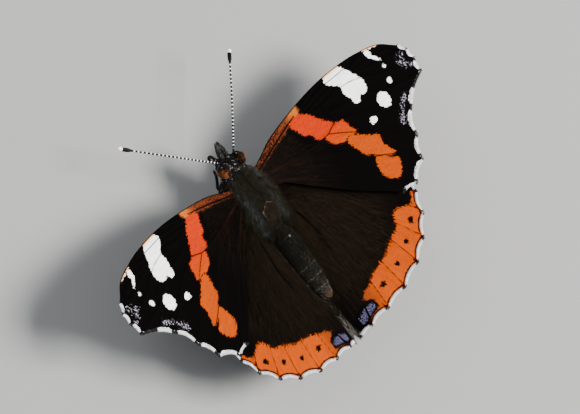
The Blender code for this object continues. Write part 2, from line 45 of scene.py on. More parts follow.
# Body skin
# The hard outer skin of head, thorax and abdomen, drawn in to the roots of the hair.
# Sizes are millimetres from a point between the wing hinges; place() moves them to the model's frame.
MM = 0.001
BODY_Y = -2.27
BODY_HEIGHT = 5.6
SIDES = ((1.0, "left"), (-1.0, "right"))
# y, half width, top and bottom
SKIN_STATIONS = (
    (-7.98, 0.30, 0.80, 0.15), (-7.82, 0.66, 1.08, -0.20), (-7.40, 1.02, 1.34, -0.50),
    (-6.70, 1.40, 1.56, -0.62), (-5.95, 1.46, 1.54, -0.60), (-5.45, 1.74, 1.40, -0.70),
    (-5.15, 2.16, 1.40, -1.10), (-4.80, 2.46, 1.46, -1.60), (-4.30, 2.70, 1.54, -2.04),
    (-3.00, 2.90, 1.68, -2.54), (-0.50, 2.92, 1.84, -2.68), (1.60, 2.56, 1.70, -2.28),
    (2.90, 1.84, 1.44, -1.67), (3.60, 1.36, 1.14, -1.28), (4.20, 1.44, 1.22, -1.46),
    (5.40, 1.78, 1.42, -1.82), (8.40, 1.90, 1.32, -2.02), (11.40, 1.62, 1.12, -1.60),
    (13.80, 1.02, 0.84, -0.68), (15.00, 0.42, 0.56, 0.04), (15.20, 0.16, 0.44, 0.20),
)
BODY_SQUARENESS = 2.15
SKIN_ROWS = 240
SKIN_COLUMNS = 100
ABDOMEN_START = 3.9
ABDOMEN_END = 15.1
SEGMENTS = 7
SEGMENT_LAP = 0.075
SCUTELLUM_FRONT = 0.2
SCUTELLUM_BACK = 3.0
SCUTELLUM_FLARE = 1.6
SCUTELLUM_HALF_WIDTH = 1.25
SCUTELLUM_RISE = 0.20
SCUTELLUM_BEVEL = 0.4


def place(points):
    """Body-frame millimetres to the model's frame in metres: shift, then scale."""
    return (np.asarray(points, dtype=float) + (0.0, BODY_Y, BODY_HEIGHT)) * MM


def run_lengths(curve):
    """Distance along a polyline at each of its points: the sum of the steps before it."""
    return np.concatenate(([0.0], np.cumsum(np.linalg.norm(np.diff(curve, axis=0), axis=1))))


def smooth_through(points, fractions):
    """A curve through points: cubic spans by chord length, with slopes taken from each point's neighbours."""
    pts = np.asarray(points, dtype=float)
    knots = run_lengths(pts)
    slopes = np.gradient(pts, knots, axis=0)
    at = np.asarray(fractions) * knots[-1]
    span = np.clip(np.searchsorted(knots, at, side="right") - 1, 0, len(pts) - 2)
    length = (knots[span + 1] - knots[span])[:, None]
    t = (at - knots[span])[:, None] / length
    start = (2 * t**3 - 3 * t**2 + 1) * pts[span] + (t**3 - 2 * t**2 + t) * length * slopes[span]
    end = (-2 * t**3 + 3 * t**2) * pts[span + 1] + (t**3 - t**2) * length * slopes[span + 1]
    return start + end


SKIN_CURVE = smooth_through(SKIN_STATIONS, np.linspace(0.0, 1.0, 600))


def body_point(y, turn, proud=0.0):
    """Skin point at y and at an angle round the body, zero at the left side and a quarter turn on top.

    A rounded ellipse from the stations, plus the rise of the scutellum, a shield whose point faces
    forwards, and a saw-tooth lap where each ring of the abdomen overlaps the next. proud lifts the
    point off the skin.
    """
    y = np.asarray(y, dtype=float)
    half_width, top, bottom = (np.interp(y, SKIN_CURVE[:, 0], SKIN_CURVE[:, k]) for k in (1, 2, 3))
    ring = np.clip((y - ABDOMEN_START) / (ABDOMEN_END - ABDOMEN_START), 0.0, 1.0) * SEGMENTS
    on_rings = np.clip(2.0 * ring, 0.0, 1.0) * np.clip(2.0 * (SEGMENTS - ring), 0.0, 1.0)
    lap = SEGMENT_LAP * on_rings * ((ring % 1.0) ** 3 - 0.25)
    power = 2.0 / BODY_SQUARENESS
    across = np.sign(np.cos(turn)) * np.abs(np.cos(turn)) ** power
    upward = np.sign(np.sin(turn)) * np.abs(np.sin(turn)) ** power
    shield = np.clip(SCUTELLUM_FLARE * (y - SCUTELLUM_FRONT), 0.0, SCUTELLUM_HALF_WIDTH)
    within = np.minimum(shield - np.abs(across * half_width), SCUTELLUM_BACK - y)
    within = np.clip(within / SCUTELLUM_BEVEL, 0.0, 1.0) * (upward > 0)
    rise = SCUTELLUM_RISE * within * (2.0 - within)
    x = (half_width + lap + proud) * across
    z = 0.5 * (top + bottom) + (0.5 * (top - bottom) + lap + proud) * upward + rise
    return np.stack([x, y + 0.0 * x, z], axis=-1)


def grid_faces(rows, columns, closed):
    """Four-sided faces between neighbours on a grid, closed round the columns where asked."""
    row = np.arange(rows - 1)[:, None] * columns
    here = np.arange(columns if closed else columns - 1)[None, :]
    there = (here + 1) % columns
    corners = [row + here, row + there, row + there + columns, row + here + columns]
    return np.stack(corners, axis=-1).reshape(-1, 4)


def closed_tube(rings):
    """A stack of rings with a pole at each end: points, four-sided faces and the fans at the poles."""
    rows, columns = rings.shape[:2]
    poles = np.stack([rings[0].mean(axis=0), rings[-1].mean(axis=0)])
    here = np.arange(columns)
    there = (here + 1) % columns
    last = (rows - 1) * columns
    pole = np.full(columns, rows * columns)
    near = np.stack([pole, there, here], axis=1)
    far = np.stack([pole + 1, last + here, last + there], axis=1)
    points = np.concatenate([rings.reshape(-1, 3), poles])
    return points, [grid_faces(rows, columns, True), np.concatenate([near, far])]


def add_piece(name, points, face_sets, materials, nodes=(), values=None, which=None, unwrap=None):
    """One closed mesh from body-frame points. Faces are turned out if the enclosed volume is negative."""
    placed = place(points)
    volume = 0.0
    for faces in face_sets:
        for k in range(1, faces.shape[1] - 1):
            a, b, c = placed[faces[:, 0]], placed[faces[:, k]], placed[faces[:, k + 1]]
            volume += float(np.einsum("ij,ij->i", a, np.cross(b, c)).sum())
    if volume < 0.0:
        face_sets = [faces[:, ::-1] for faces in face_sets]
    mesh = bpy.data.meshes.new(name)
    corners = np.concatenate([faces.ravel() for faces in face_sets]).astype(np.int32)
    sizes = np.concatenate([np.full(len(faces), faces.shape[1]) for faces in face_sets])
    mesh.vertices.add(len(placed))
    mesh.vertices.foreach_set("co", placed.astype(np.float32).ravel())
    mesh.loops.add(len(corners))
    mesh.loops.foreach_set("vertex_index", corners)
    mesh.polygons.add(len(sizes))
    mesh.polygons.foreach_set("loop_start", (np.cumsum(sizes) - sizes).astype(np.int32))
    if unwrap is not None:
        chart = mesh.uv_layers.new(name="OFBake")
        chart.data.foreach_set("uv", unwrap[corners].astype(np.float32).ravel())
    for key, numbers in (values or {}).items():
        attribute = mesh.attributes.new(key, "FLOAT", "POINT")
        attribute.data.foreach_set("value", np.asarray(numbers, dtype=np.float32).ravel())
    for material in materials:
        mesh.materials.append(material)
    if which is not None:
        mesh.polygons.foreach_set("material_index", which.astype(np.int32))
    mesh.update(calc_edges=True)
    mesh.shade_smooth()
    piece = bpy.data.objects.new(name, mesh)
    bpy.context.scene.collection.objects.link(piece)
    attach(piece, "root")
    if nodes:
        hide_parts(*nodes)


class Finish:
    """A node material in the making: each call adds nodes and gives back their output."""

    def __init__(self, name):
        self.material = bpy.data.materials.new(name)
        self.material.use_nodes = True
        self.tree = self.material.node_tree
        self.shader = self.tree.nodes["Principled BSDF"]
        self.place = self.add("TexCoord", out="Object")

    def add(self, kind, values=None, out=0, **settings):
        """One node, with its settings and with values or links on its inputs."""
        node = self.tree.nodes.new("ShaderNode" + kind)
        for key, value in settings.items():
            setattr(node, key, value)
        for key, value in (values or {}).items():
            self.feed(node.inputs[key], value)
        return node.outputs[out]

    def feed(self, socket, value):
        """Link a value that comes from a node, or set one that doesn't."""
        if isinstance(value, bpy.types.NodeSocket):
            self.tree.links.new(value, socket)
        else:
            socket.default_value = value

    def math(self, operation, a, b=0.0):
        """One arithmetic step."""
        return self.add("Math", {0: a, 1: b}, operation=operation)

    def plus(self, a, b):
        """a plus b."""
        return self.math("ADD", a, b)

    def minus(self, a, b):
        """a less b."""
        return self.math("SUBTRACT", a, b)

    def times(self, product, *factors):
        """Several numbers multiplied."""
        for factor in factors:
            product = self.math("MULTIPLY", product, factor)
        return product

    def apart(self, a, b=0.0):
        """How far a is from b, either way."""
        return self.math("ABSOLUTE", self.minus(a, b))

    def value(self, name):
        """A number that the mesh carries at each point."""
        return self.add("Attribute", attribute_name=name, out="Fac")

    def axis(self, letter):
        """One coordinate in the body's own millimetres."""
        metres = self.add("SeparateXYZ", {0: self.place}, out=letter)
        return self.minus(self.math("DIVIDE", metres, MM), {"X": 0.0, "Y": BODY_Y, "Z": BODY_HEIGHT}[letter])

    def ramp(self, value, low, high):
        """Soft rise from nought at low to one at high, of a value or of a number that the mesh carries."""
        value = self.value(value) if isinstance(value, str) else value
        settings = {"Value": value, "From Min": low, "From Max": high}
        return self.add("MapRange", settings, interpolation_type="SMOOTHSTEP")

    def spread(self, value, low, high):
        """Straight line from low, where value is nought, to high, where it is one."""
        return self.add("MapRange", {"Value": value, "To Min": low, "To Max": high})

    def noise(self, size, detail=2.0, roughness=0.5, stretch=(1.0, 1.0, 1.0)):
        """Soft random grain, size in millimetres, which may be stretched along an axis."""
        vector = self.add("Mapping", {"Vector": self.place, "Scale": stretch})
        grain = {"Vector": vector, "Scale": 1.0 / (size * MM), "Detail": detail, "Roughness": roughness}
        return self.add("TexNoise", grain)

    def patches(self, size, low, high, **grain):
        """Soft random patches: one where the noise is over high, nought where it is under low."""
        return self.ramp(self.noise(size, **grain), low, high)

    def cells(self, size, out="Distance"):
        """Small cells, one for each scale or lens, size in millimetres."""
        return self.add("TexVoronoi", {"Vector": self.place, "Scale": 1.0 / (size * MM)}, out=out)

    def mix(self, share, first, second):
        """First colour where share is nought, second where it is one."""
        colours = [(*c, 1.0) if isinstance(c, tuple) else c for c in (first, second)]
        return self.add("Mix", {0: share, 6: colours[0], 7: colours[1]}, out=2, data_type="RGBA")

    def layers(self, ground, *coats):
        """A ground colour under coats of paint: each is a share and a colour, laid on in turn."""
        for share, colour in coats:
            ground = self.mix(share, ground, colour)
        return ground

    def brighten(self, colour, amount):
        """A colour times a number."""
        by = self.add("CombineXYZ", {0: amount, 1: amount, 2: amount})
        return self.add("VectorMath", {0: colour, 1: by}, operation="MULTIPLY")

    def finish(self, colour, roughness, sheen=0.0, specular=0.3, relief=None, relief_height=0.02):
        """Join up the shader. relief_height is in millimetres."""
        self.feed(self.shader.inputs["Base Color"], colour)
        self.shader.inputs["Roughness"].default_value = roughness
        self.shader.inputs["Specular IOR Level"].default_value = specular
        self.shader.inputs["Sheen Weight"].default_value = sheen
        self.shader.inputs["Sheen Roughness"].default_value = 0.4
        if relief is not None:
            heights = {"Height": relief, "Distance": relief_height * MM, "Strength": 1.0}
            self.feed(self.shader.inputs["Normal"], self.add("Bump", heights))
        return self.material


BODY_BLACK = (0.0030, 0.0027, 0.0024)
THORAX_GREEN = (0.0125, 0.0115, 0.0070)
# Painted sheen: a bluish colour laid in stripes on the thorax's sides, where light glances off the hair
THORAX_SHEEN_BLUE = (0.0245, 0.0275, 0.0280)
HEAD_GREY = (0.0270, 0.0265, 0.0265)
SHOULDER_BROWN = (0.0165, 0.0082, 0.0065)
ABDOMEN_GREY = (0.0046, 0.0047, 0.0038)
ABDOMEN_OLIVE = (0.0062, 0.0050, 0.0026)
RING_PALE = (0.1100, 0.1000, 0.0800)
TAIL_BROWN = (0.0620, 0.0300, 0.0170)
SCUTELLUM_BROWN = (0.0190, 0.0120, 0.0085)
SCUTELLUM_TAN = (0.1800, 0.1200, 0.0850)
SHEEN_STRIPE_X = 2.25
SHEEN_STRIPE_WIDTH = 0.93
HEAD_JOIN_Y = -4.9
SHOULDER_Y = -4.2
WAIST_Y = 3.7
FLECK_Y = 5.6
TAIL_Y = 14.35


def thorax_colour(make, x, y):
    """Head and thorax: olive with painted bluish sheen in stripes on the sides, dark grain and middle line,
    tan shield, brown shoulders.
    """
    # The shield is what lies within its two slanting front edges, its flanks and its back
    front = make.minus(x, make.times(make.minus(y, SCUTELLUM_FRONT), SCUTELLUM_FLARE))
    back = make.minus(y, SCUTELLUM_BACK - 0.1)
    outside = make.math("MAXIMUM", make.math("MAXIMUM", front, back), make.minus(x, SCUTELLUM_HALF_WIDTH))
    outline = make.times(make.ramp(make.apart(outside), 0.12, 0.03), make.patches(0.4, 0.38, 0.58))
    to_front = make.spread(make.ramp(y, SCUTELLUM_FRONT + 1.7, SCUTELLUM_FRONT + 0.8), 0.12, 1.0)
    # Painted sheen: soft bluish stripes along both sides of the thorax stand in for light glancing off the
    # hair
    sheen_stripe = make.ramp(make.apart(x, SHEEN_STRIPE_X), SHEEN_STRIPE_WIDTH, 0.0)
    middle = make.times(make.ramp(x, 0.20, 0.05), make.ramp(y, SCUTELLUM_FRONT, SCUTELLUM_FRONT - 0.4), 0.7)
    shoulders = make.times(make.ramp(y, SHOULDER_Y + 0.5, SHOULDER_Y - 0.5), make.ramp(x, 1.3, 2.2))
    thorax = make.layers(
        make.mix(make.times(sheen_stripe, make.patches(1.1, 0.34, 0.60)), THORAX_GREEN, THORAX_SHEEN_BLUE),
        (make.patches(0.18, 0.45, 0.8, detail=1.0, stretch=(1.0, 0.25, 1.0)), BODY_BLACK),
        (middle, BODY_BLACK),
        (make.times(make.ramp(outside, 0.10, -0.30), make.patches(0.5, 0.30, 0.60)), SCUTELLUM_BROWN),
        (make.times(outline, to_front), SCUTELLUM_TAN),
        (make.times(shoulders, make.patches(0.4, 0.35, 0.60)), SHOULDER_BROWN),
    )
    head = make.mix(make.patches(0.18, 0.40, 0.70), BODY_BLACK, HEAD_GREY)
    return make.mix(make.ramp(y, HEAD_JOIN_Y - 0.3, HEAD_JOIN_Y + 0.3), head, thorax)


def abdomen_colour(make, x, y):
    """Grey and olive, with pale rings and specks towards the tail, a pale fleck in front and a brown tip."""
    along = make.math("DIVIDE", make.minus(y, ABDOMEN_START), (ABDOMEN_END - ABDOMEN_START) / SEGMENTS)
    at_lap = make.ramp(make.math("FRACT", along), 0.82, 0.96)
    to_tail = make.ramp(y, 8.0, 12.0)
    specks = make.ramp(y, TAIL_Y - 1.95, TAIL_Y - 0.15)
    return make.layers(
        make.mix(make.patches(1.6, 0.42, 0.62), ABDOMEN_GREY, ABDOMEN_OLIVE),
        (make.times(at_lap, to_tail, make.patches(0.22, 0.50, 0.62)), RING_PALE),
        (make.times(make.patches(0.15, 0.50, 0.68), to_tail, 0.25), RING_PALE),
        (make.ramp(make.math("MAXIMUM", x, make.apart(y, FLECK_Y)), 0.20, 0.10), RING_PALE),
        (make.times(make.ramp(y, TAIL_Y - 0.45, TAIL_Y + 0.45), make.patches(0.25, 0.30, 0.60)), TAIL_BROWN),
        (make.times(specks, make.patches(0.16, 0.50, 0.62), 0.6), RING_PALE),
    )


def body_colour(make):
    """Markings of skin and coat, with the painted sheen on the thorax: the thorax's and the abdomen's, joined
    at the waist.
    """
    x = make.apart(make.axis("X"))
    y = make.axis("Y")
    to_abdomen = make.ramp(y, WAIST_Y - 0.3, WAIST_Y + 0.3)
    return make.mix(to_abdomen, thorax_colour(make, x, y), abdomen_colour(make, x, y))


skin_finish = Finish("body_skin")
skin_material = skin_finish.finish(
    body_colour(skin_finish), 0.62, specular=0.05, relief=skin_finish.cells(0.11), relief_height=0.03
)
# Rows crowd together where the skin curves in at the head and the tail
skin_y = np.maximum.accumulate(smooth_through(SKIN_STATIONS, np.linspace(0.0, 1.0, SKIN_ROWS))[:, 0])
skin_turn = np.linspace(0.0, math.tau, SKIN_COLUMNS, endpoint=False)
skin_points, skin_faces = closed_tube(body_point(skin_y[:, None], skin_turn[None, :]))
add_piece("body_skin", skin_points, skin_faces, [skin_material], ("thorax", "abdomen", "head"))

# Forewings
# Thin membranes, stiffened by veins that stand up on both faces and covered with scales. Each is
# hinged high on the side of the thorax, and lies over the front edge of the hindwing.
# Outlines and markings are u, v in millimetres: u out from the hinge in the wing's plane, v to the rear.
DIHEDRAL = math.radians(10.0)
WING_SIN = math.sin(DIHEDRAL)
WING_COS = math.cos(DIHEDRAL)
HINGE_X = 1.6
MEMBRANE = 0.11
VEIN_RISE = 0.075
VEIN_WIDTH = 0.17
PLEAT_DEPTH = 0.10
PLEAT_WIDTH = 1.1
SCALLOP_DEPTH = 0.42
MARGIN_STEPS = 24
GUTTER_WIDTH = 2.2
RAY_SCALE = 14.0


def bump(x, width):
    """A soft hump: one at zero, falling with the square of x over width."""
    return np.exp(-((x / width) ** 2))


def evenly(curve, count):
    """A polyline read at equal steps along its length."""
    lengths = run_lengths(curve)
    at = np.linspace(0.0, lengths[-1], count)
    return np.stack([np.interp(at, lengths, curve[:, k]) for k in range(curve.shape[1])], axis=1)


def running_mean(vectors, count):
    """Each vector replaced by the mean of the count around it."""
    window = np.ones(count) / count
    padded = np.pad(vectors, ((count // 2, count // 2), (0, 0)), "edge")
    return np.stack([np.convolve(padded[:, k], window, "valid") for k in (0, 1)], axis=1)


def outer_margin(ends):
    """The outer edge from vein end to vein end, drawn in between them by half a sine wave."""
    t = np.linspace(0.0, 1.0, MARGIN_STEPS, endpoint=False)[:, None]
    runs = []
    for start, end in zip(np.array(ends), np.array(ends)[1:]):
        chord = end - start
        size = np.linalg.norm(chord)
        inward = np.array((-chord[1], chord[0])) / size
        runs.append(start + t * chord + SCALLOP_DEPTH * min(1.0, size / 3.0) * np.sin(math.pi * t) * inward)
    return np.concatenate([*runs, [ends[-1]]])


def membrane_edge(wing):
    """Where the membrane stops and the fringe starts: the margin moved in, square to its own smoothed run."""
    curve = evenly(outer_margin(wing.ends), 20 * len(wing.ends))
    along = running_mean(np.gradient(curve, axis=0), 9)
    inward = np.stack([-along[:, 1], along[:, 0]], axis=1)
    return curve + wing.fringe * inward / np.linalg.norm(inward, axis=1)[:, None]


def wing_grid(wing):
    """A wing's u and v on a grid: the blend of its four edges, less the blend of its corners."""
    margin = membrane_edge(wing)
    fine = np.linspace(0.0, 1.0, 300)
    front = evenly(smooth_through([wing.root[0], *wing.costa, margin[0]], fine), wing.rows)
    back = evenly(smooth_through([margin[-1], *wing.inner, wing.root[1]], fine), wing.rows)[::-1]
    s = np.linspace(0.0, 1.0, wing.rows)[:, None, None]
    t = np.linspace(0.0, 1.0, wing.columns)[None, :, None]
    first, last = np.array(wing.root)
    base = first + t[0] * (last - first)
    edge = evenly(margin, wing.columns)
    blend = (1 - t) * front[:, None] + t * back[:, None] + (1 - s) * base[None] + s * edge[None]
    near = (1 - t) * base[0] + t * base[-1]
    far = (1 - t) * edge[0] + t * edge[-1]
    return blend - (1 - s) * near - s * far


def distance_to_lines(points, lines):
    """Distance from each point to the nearest of several polylines."""
    best = np.full(points.shape[:-1], np.inf)
    for line in lines:
        for a, b in zip(line, line[1:]):
            span = b - a
            t = np.clip(((points - a) @ span) / (span @ span), 0.0, 1.0)
            best = np.minimum(best, np.linalg.norm(points - a - t[..., None] * span, axis=-1))
    return best


def soft_lines(*lines):
    """Smooth lines through points, as short straight runs."""
    return [smooth_through(line, np.linspace(0.0, 1.0, 16)) for line in lines]


def make_wing(**sizes):
    """A wing's sizes, with its grid, the lines of its veins and each grid point's distance to them."""
    wing = SimpleNamespace(**sizes)
    wing.flat = wing_grid(wing)
    wing.u, wing.v = wing.flat[..., 0], wing.flat[..., 1]
    wing.lines = soft_lines(*wing.veins)
    wing.from_vein = distance_to_lines(wing.flat, wing.lines)
    return wing


def wing_level(wing, u, v):
    """Height of a wing's middle: the rise of its plane, less a droop with the square of the reach.

    A wing with a gutter is also folded down beside the body, with the square of its share of the gutter.
    """
    fold = np.clip(1.0 - (u + 1.1) / GUTTER_WIDTH, 0.0, 1.0)
    droop = wing.camber * (np.hypot(u, v) / wing.reach) ** 2 + wing.gutter * fold**2
    return wing.hinge[1] + u * WING_SIN - droop


def pleat(distance):
    """How far the membrane sinks between its veins, by the distance to the nearest of them."""
    return -PLEAT_DEPTH * (1.0 - bump(distance, PLEAT_WIDTH))


def add_wing(wing, materials, values):
    """A left and a right wing: each an upper sheet, a lower sheet and the rim that joins them.

    Both sheets stand off the middle by half the membrane and a hump over each vein, and carry the
    same numbers.
    """
    rows, columns = wing.flat.shape[:2]
    count = rows * columns
    sheet = grid_faces(rows, columns, False)
    grid = np.arange(count).reshape(rows, columns)
    loop = np.concatenate([grid[0, :-1], grid[:-1, -1], grid[-1, :0:-1], grid[:0:-1, 0]])
    ahead = np.roll(loop, -1)
    rim = np.stack([loop, loop + count, ahead + count, ahead], axis=1)
    faces = np.concatenate([sheet, sheet[:, ::-1] + count, rim])
    which = np.concatenate([np.zeros(len(sheet)), np.ones(len(sheet)), np.zeros(len(rim))])
    carried = {key: np.tile(np.asarray(numbers).ravel(), 2) for key, numbers in values.items()}
    half = 0.5 * MEMBRANE + VEIN_RISE * bump(wing.from_vein, VEIN_WIDTH)
    middle = wing_level(wing, wing.u, wing.v) + pleat(wing.from_vein)
    y = wing.hinge[0] + wing.v
    for side, word in SIDES:
        x = side * (HINGE_X + wing.u * WING_COS)
        points = [
            np.stack([x - k * side * half * WING_SIN, y, middle + k * half * WING_COS], axis=-1)
            for k in (1.0, -1.0)
        ]
        add_piece(
            f"{wing.name}_membrane_{word}", np.stack(points).reshape(-1, 3), [faces], materials,
            (f"{wing.name}_{word}",), carried, which,
        )


def blob(outline, points):
    """Signed distance to a rounded closed outline through the given points, negative inside."""
    ring = np.array([*outline[-2:], *outline, *outline[:2]], dtype=float)
    knots = run_lengths(ring)
    at = np.linspace(knots[2], knots[-2], 6 * len(outline) + 1)[:-1] / knots[-1]
    curve = smooth_through(ring, at)
    crossed = np.zeros(points.shape[:-1], dtype=bool)
    for a, b in zip(curve, np.roll(curve, -1, axis=0)):
        between = (a[1] > points[..., 1]) != (b[1] > points[..., 1])
        rise = b[1] - a[1] if b[1] != a[1] else 1e-9
        crossed ^= between & (points[..., 0] < a[0] + (points[..., 1] - a[1]) * (b[0] - a[0]) / rise)
    distance = distance_to_lines(points, [np.vstack([curve, curve[:1]])])
    return np.where(crossed, -distance, distance)


def spot(centre, radii, points):
    """Signed distance to a small oval."""
    scaled = np.hypot((points[..., 0] - centre[0]) / radii[0], (points[..., 1] - centre[1]) / radii[1])
    return (scaled - 1.0) * min(radii)


def union(*distances):
    """Signed distance to several markings together: the least of theirs."""
    return np.minimum.reduce(distances)


def along_margin(ends, count):
    """Even points of the outer edge: the cell between two veins, the share of it, and the cell's length."""
    margin = outer_margin(ends)
    lengths = run_lengths(margin)
    at = np.interp(np.linspace(0.0, lengths[-1], count), lengths, np.arange(len(margin)) / MARGIN_STEPS)
    cell = np.minimum(at.astype(int), len(ends) - 2)
    return cell, at - cell, np.linalg.norm(np.diff(np.array(ends), axis=0), axis=1)[cell]


def white_part(wing, count):
    """How far inside the white part of its cell each even point of the edge lies, and the white's depth."""
    cell, share, size = along_margin(wing.ends, count)
    start, stop, depth = np.array(wing.whites)[cell].T
    return np.minimum(share - start, stop - share) * size, depth


def fringe_marks(wing):
    """Distances to the edge, to the white crescents along it and to the black wedges at the veins' ends."""
    edge = distance_to_lines(wing.flat, [membrane_edge(wing)])
    within, depth = white_part(wing, wing.flat.shape[1])
    crescent = edge - depth * np.sqrt(np.clip(within / 0.5, 0.0, 1.0)) + 0.04
    _, share, size = along_margin(wing.ends, wing.flat.shape[1])
    wedge = np.minimum(share, 1.0 - share) * size - 0.26 * (1.0 - edge / 0.8)
    return edge, crescent, wedge


def ray_values(wing, centre):
    """Where a point lies in the fan of rays from the wing's root: across the rays, and out along them."""
    u, v = wing.u - centre[0], wing.v - centre[1]
    return {"ray": np.arctan2(v, u) * RAY_SCALE, "out": np.hypot(u, v)}


def rays(make, size, stretch, detail=2.0):
    """Grain in streaks that fan out from the wing's root: size across them, stretch times that along."""
    across = make.times(make.value("ray"), 1.0 / size)
    outward = make.times(make.value("out"), 1.0 / (size * stretch))
    vector = make.add("CombineXYZ", {0: across, 1: outward})
    return make.add("TexNoise", {"Vector": vector, "Scale": 1.0, "Detail": detail, "Roughness": 0.6})


def inside(make, name, ragged, edge=0.04):
    """One inside a marking whose distance the mesh carries, with teeth that run along the wing's rays."""
    teeth = make.plus(rays(make, 0.13, 5.0, 1.0), make.times(make.noise(0.12, 1.0), 0.5))
    wobble = make.times(make.minus(teeth, 0.75), 2.0 * ragged)
    return make.ramp(make.plus(make.value(name), wobble), edge, -edge)


def speckled(make, edge):
    """Scattered scales: specks in rays, the more of them the nearer to the middle of a dusted patch."""
    dust_here = make.math("MINIMUM", make.value("dust"), 1.0)
    grain = make.plus(make.times(rays(make, 0.13, 2.5, 1.0), 0.6), make.times(make.noise(0.14, 1.0), 0.4))
    specks = make.ramp(make.plus(grain, make.times(dust_here, 0.19)), edge, edge + 0.06)
    return make.times(specks, make.ramp(dust_here, 0.06, 0.30))


def scale_finish(make, colour, roughness, specular):
    """Cover with scales: the colour varies from one to the next and in faint rays, and each stands up."""
    shade = make.add("RGBToBW", {0: make.cells(SCALE_SIZE, out="Color")})
    shade = make.plus(shade, make.minus(rays(make, 0.30, 8.0), 0.5))
    colour = make.brighten(colour, make.spread(shade, 1.0 - SCALE_SPREAD, 1.0 + SCALE_SPREAD))
    return make.finish(colour, roughness, specular=specular, relief=make.cells(SCALE_SIZE))


SCALE_SIZE = 0.10
SCALE_SPREAD = 0.22
forewing = make_wing(
    name="forewing",
    hinge=(-2.6, 1.00),
    costa=((2.0, -1.65), (5.0, -2.75), (10.1, -3.75), (18.4, -4.35), (24.1, -3.75), (27.5, -2.75)),
    ends=(
        (30.1, -1.05), (30.9, 0.20), (31.0, 1.75), (30.6, 3.85), (25.6, 6.70), (23.85, 9.80), (22.15, 12.80),
        (18.95, 14.80), (16.4, 14.45),
    ),
    inner=((11.5, 10.3), (6.0, 5.3), (3.0, 2.55)),
    root=((0.6, -1.25), (0.6, 1.25)),
    veins=(
        ((0.6, -0.85), (6.0, -2.10), (11.0, -3.05), (15.5, -4.20)),
        ((0.6, -0.55), (8.0, -2.35), (14.0, -3.10), (22.2, -4.00)),
        ((0.6, -0.25), (7.5, -2.00), (11.5, -2.15), (14.6, -1.50)),
        ((11.5, -2.15), (17.0, -2.65), (21.0, -2.75), (25.6, -3.40)),
        ((14.6, -1.50), (20.0, -2.30), (25.0, -2.00), (30.1, -1.05)),
        ((20.0, -2.30), (24.0, -1.40), (27.0, -0.60), (30.9, 0.20)),
        ((14.6, -1.50), (20.2, -1.55), (25.6, 0.70), (31.0, 1.75)),
        ((14.9, -0.25), (20.0, 0.75), (25.0, 2.80), (30.6, 3.85)),
        ((15.0, 1.15), (19.8, 3.10), (22.9, 5.00), (25.6, 6.70)),
        ((12.7, 1.80), (16.6, 4.10), (20.2, 7.30), (23.85, 9.80)),
        ((8.2, 1.55), (13.9, 5.70), (18.0, 9.00), (22.15, 12.80)),
        ((5.6, 1.15), (10.4, 6.20), (14.6, 10.90), (18.95, 14.80)),
        ((0.6, 0.55), (6.6, 4.70), (11.8, 9.60), (16.4, 14.45)),
        ((0.6, 0.05), (5.6, 1.15), (8.2, 1.55), (12.7, 1.80)),
        ((14.6, -1.50), (14.9, -0.25), (15.0, 1.15), (12.7, 1.80)),
    ),
    reach=31.0,
    camber=0.45,
    gutter=0.0,
    fringe=0.42,
    # White parts of the fringe, one in each cell: from, to, and depth of the crescent behind it
    whites=(
        (0.12, 0.93, 0.16), (0.12, 0.93, 0.16), (0.18, 0.80, 0.20), (0.47, 0.88, 0.28),
        (0.07, 0.84, 0.26), (0.15, 0.79, 0.22), (0.05, 0.84, 0.22), (0.05, 0.75, 0.0),
    ),
    rows=200,
    columns=125,
)
# The orange-red band, in four parts between the veins
FOREWING_BAND = (
    (
        (8.96, -2.3), (11.3, -2.7), (12.2, -1.96), (13.0, -0.87), (13.9, 0.33), (14.6, 1.15), (12.9, 1.75),
        (11.6, 1.72), (11.0, 1.3), (10.65, 0.2), (9.9, -0.1), (9.6, -0.87),
    ),
    (
        (12.1, 1.9), (14.9, 1.3), (15.9, 1.74), (16.2, 2.8), (16.6, 3.96), (15.2, 3.8), (13.9, 3.9),
        (12.7, 3.26),
    ),
    (
        (14.5, 4.1), (15.65, 3.9), (16.7, 4.7), (17.6, 5.4), (18.9, 6.3), (18.65, 7.5), (19.3, 9.5),
        (18.6, 9.45), (16.5, 8.0), (15.5, 7.2), (15.0, 6.1), (14.6, 4.8),
    ),
    (
        (16.5, 8.3), (18.0, 9.4), (19.1, 10.3), (18.45, 11.75), (17.7, 12.3), (16.6, 11.9), (15.7, 10.9),
        (15.75, 9.6),
    ),
)
# White: the bar, the streak near the tip, a cream line on the costa, and five spots
FOREWING_WHITE = (
    (
        (18.15, -4.7), (19.7, -4.6), (20.65, -3.7), (21.5, -2.2), (22.2, -0.3), (22.0, 0.5), (21.2, 1.0),
        (20.3, 0.76), (19.9, 1.3), (19.1, 1.2), (18.9, 0.2), (18.6, -1.1), (18.8, -1.7), (17.8, -2.7),
        (17.2, -3.5),
    ),
    (
        (24.85, -3.15), (25.50, -3.05), (25.75, -2.75), (25.60, -2.30), (25.95, -1.75), (26.35, -1.00),
        (25.30, -1.75), (24.90, -2.45),
    ),
    ((24.7, -3.65), (26.0, -3.35), (27.3, -2.92), (27.4, -2.72), (26.2, -3.02), (25.0, -3.36)),
)
FOREWING_SPOTS = (
    ((29.45, 4.35), (0.17, 0.17)),
    ((26.1, -0.05), (0.24, 0.32)),
    ((25.4, 1.85), (0.40, 0.42)),
    ((22.9, 3.3), (1.02, 1.12)),
    ((19.7, 4.4), (0.62, 0.46)),
)
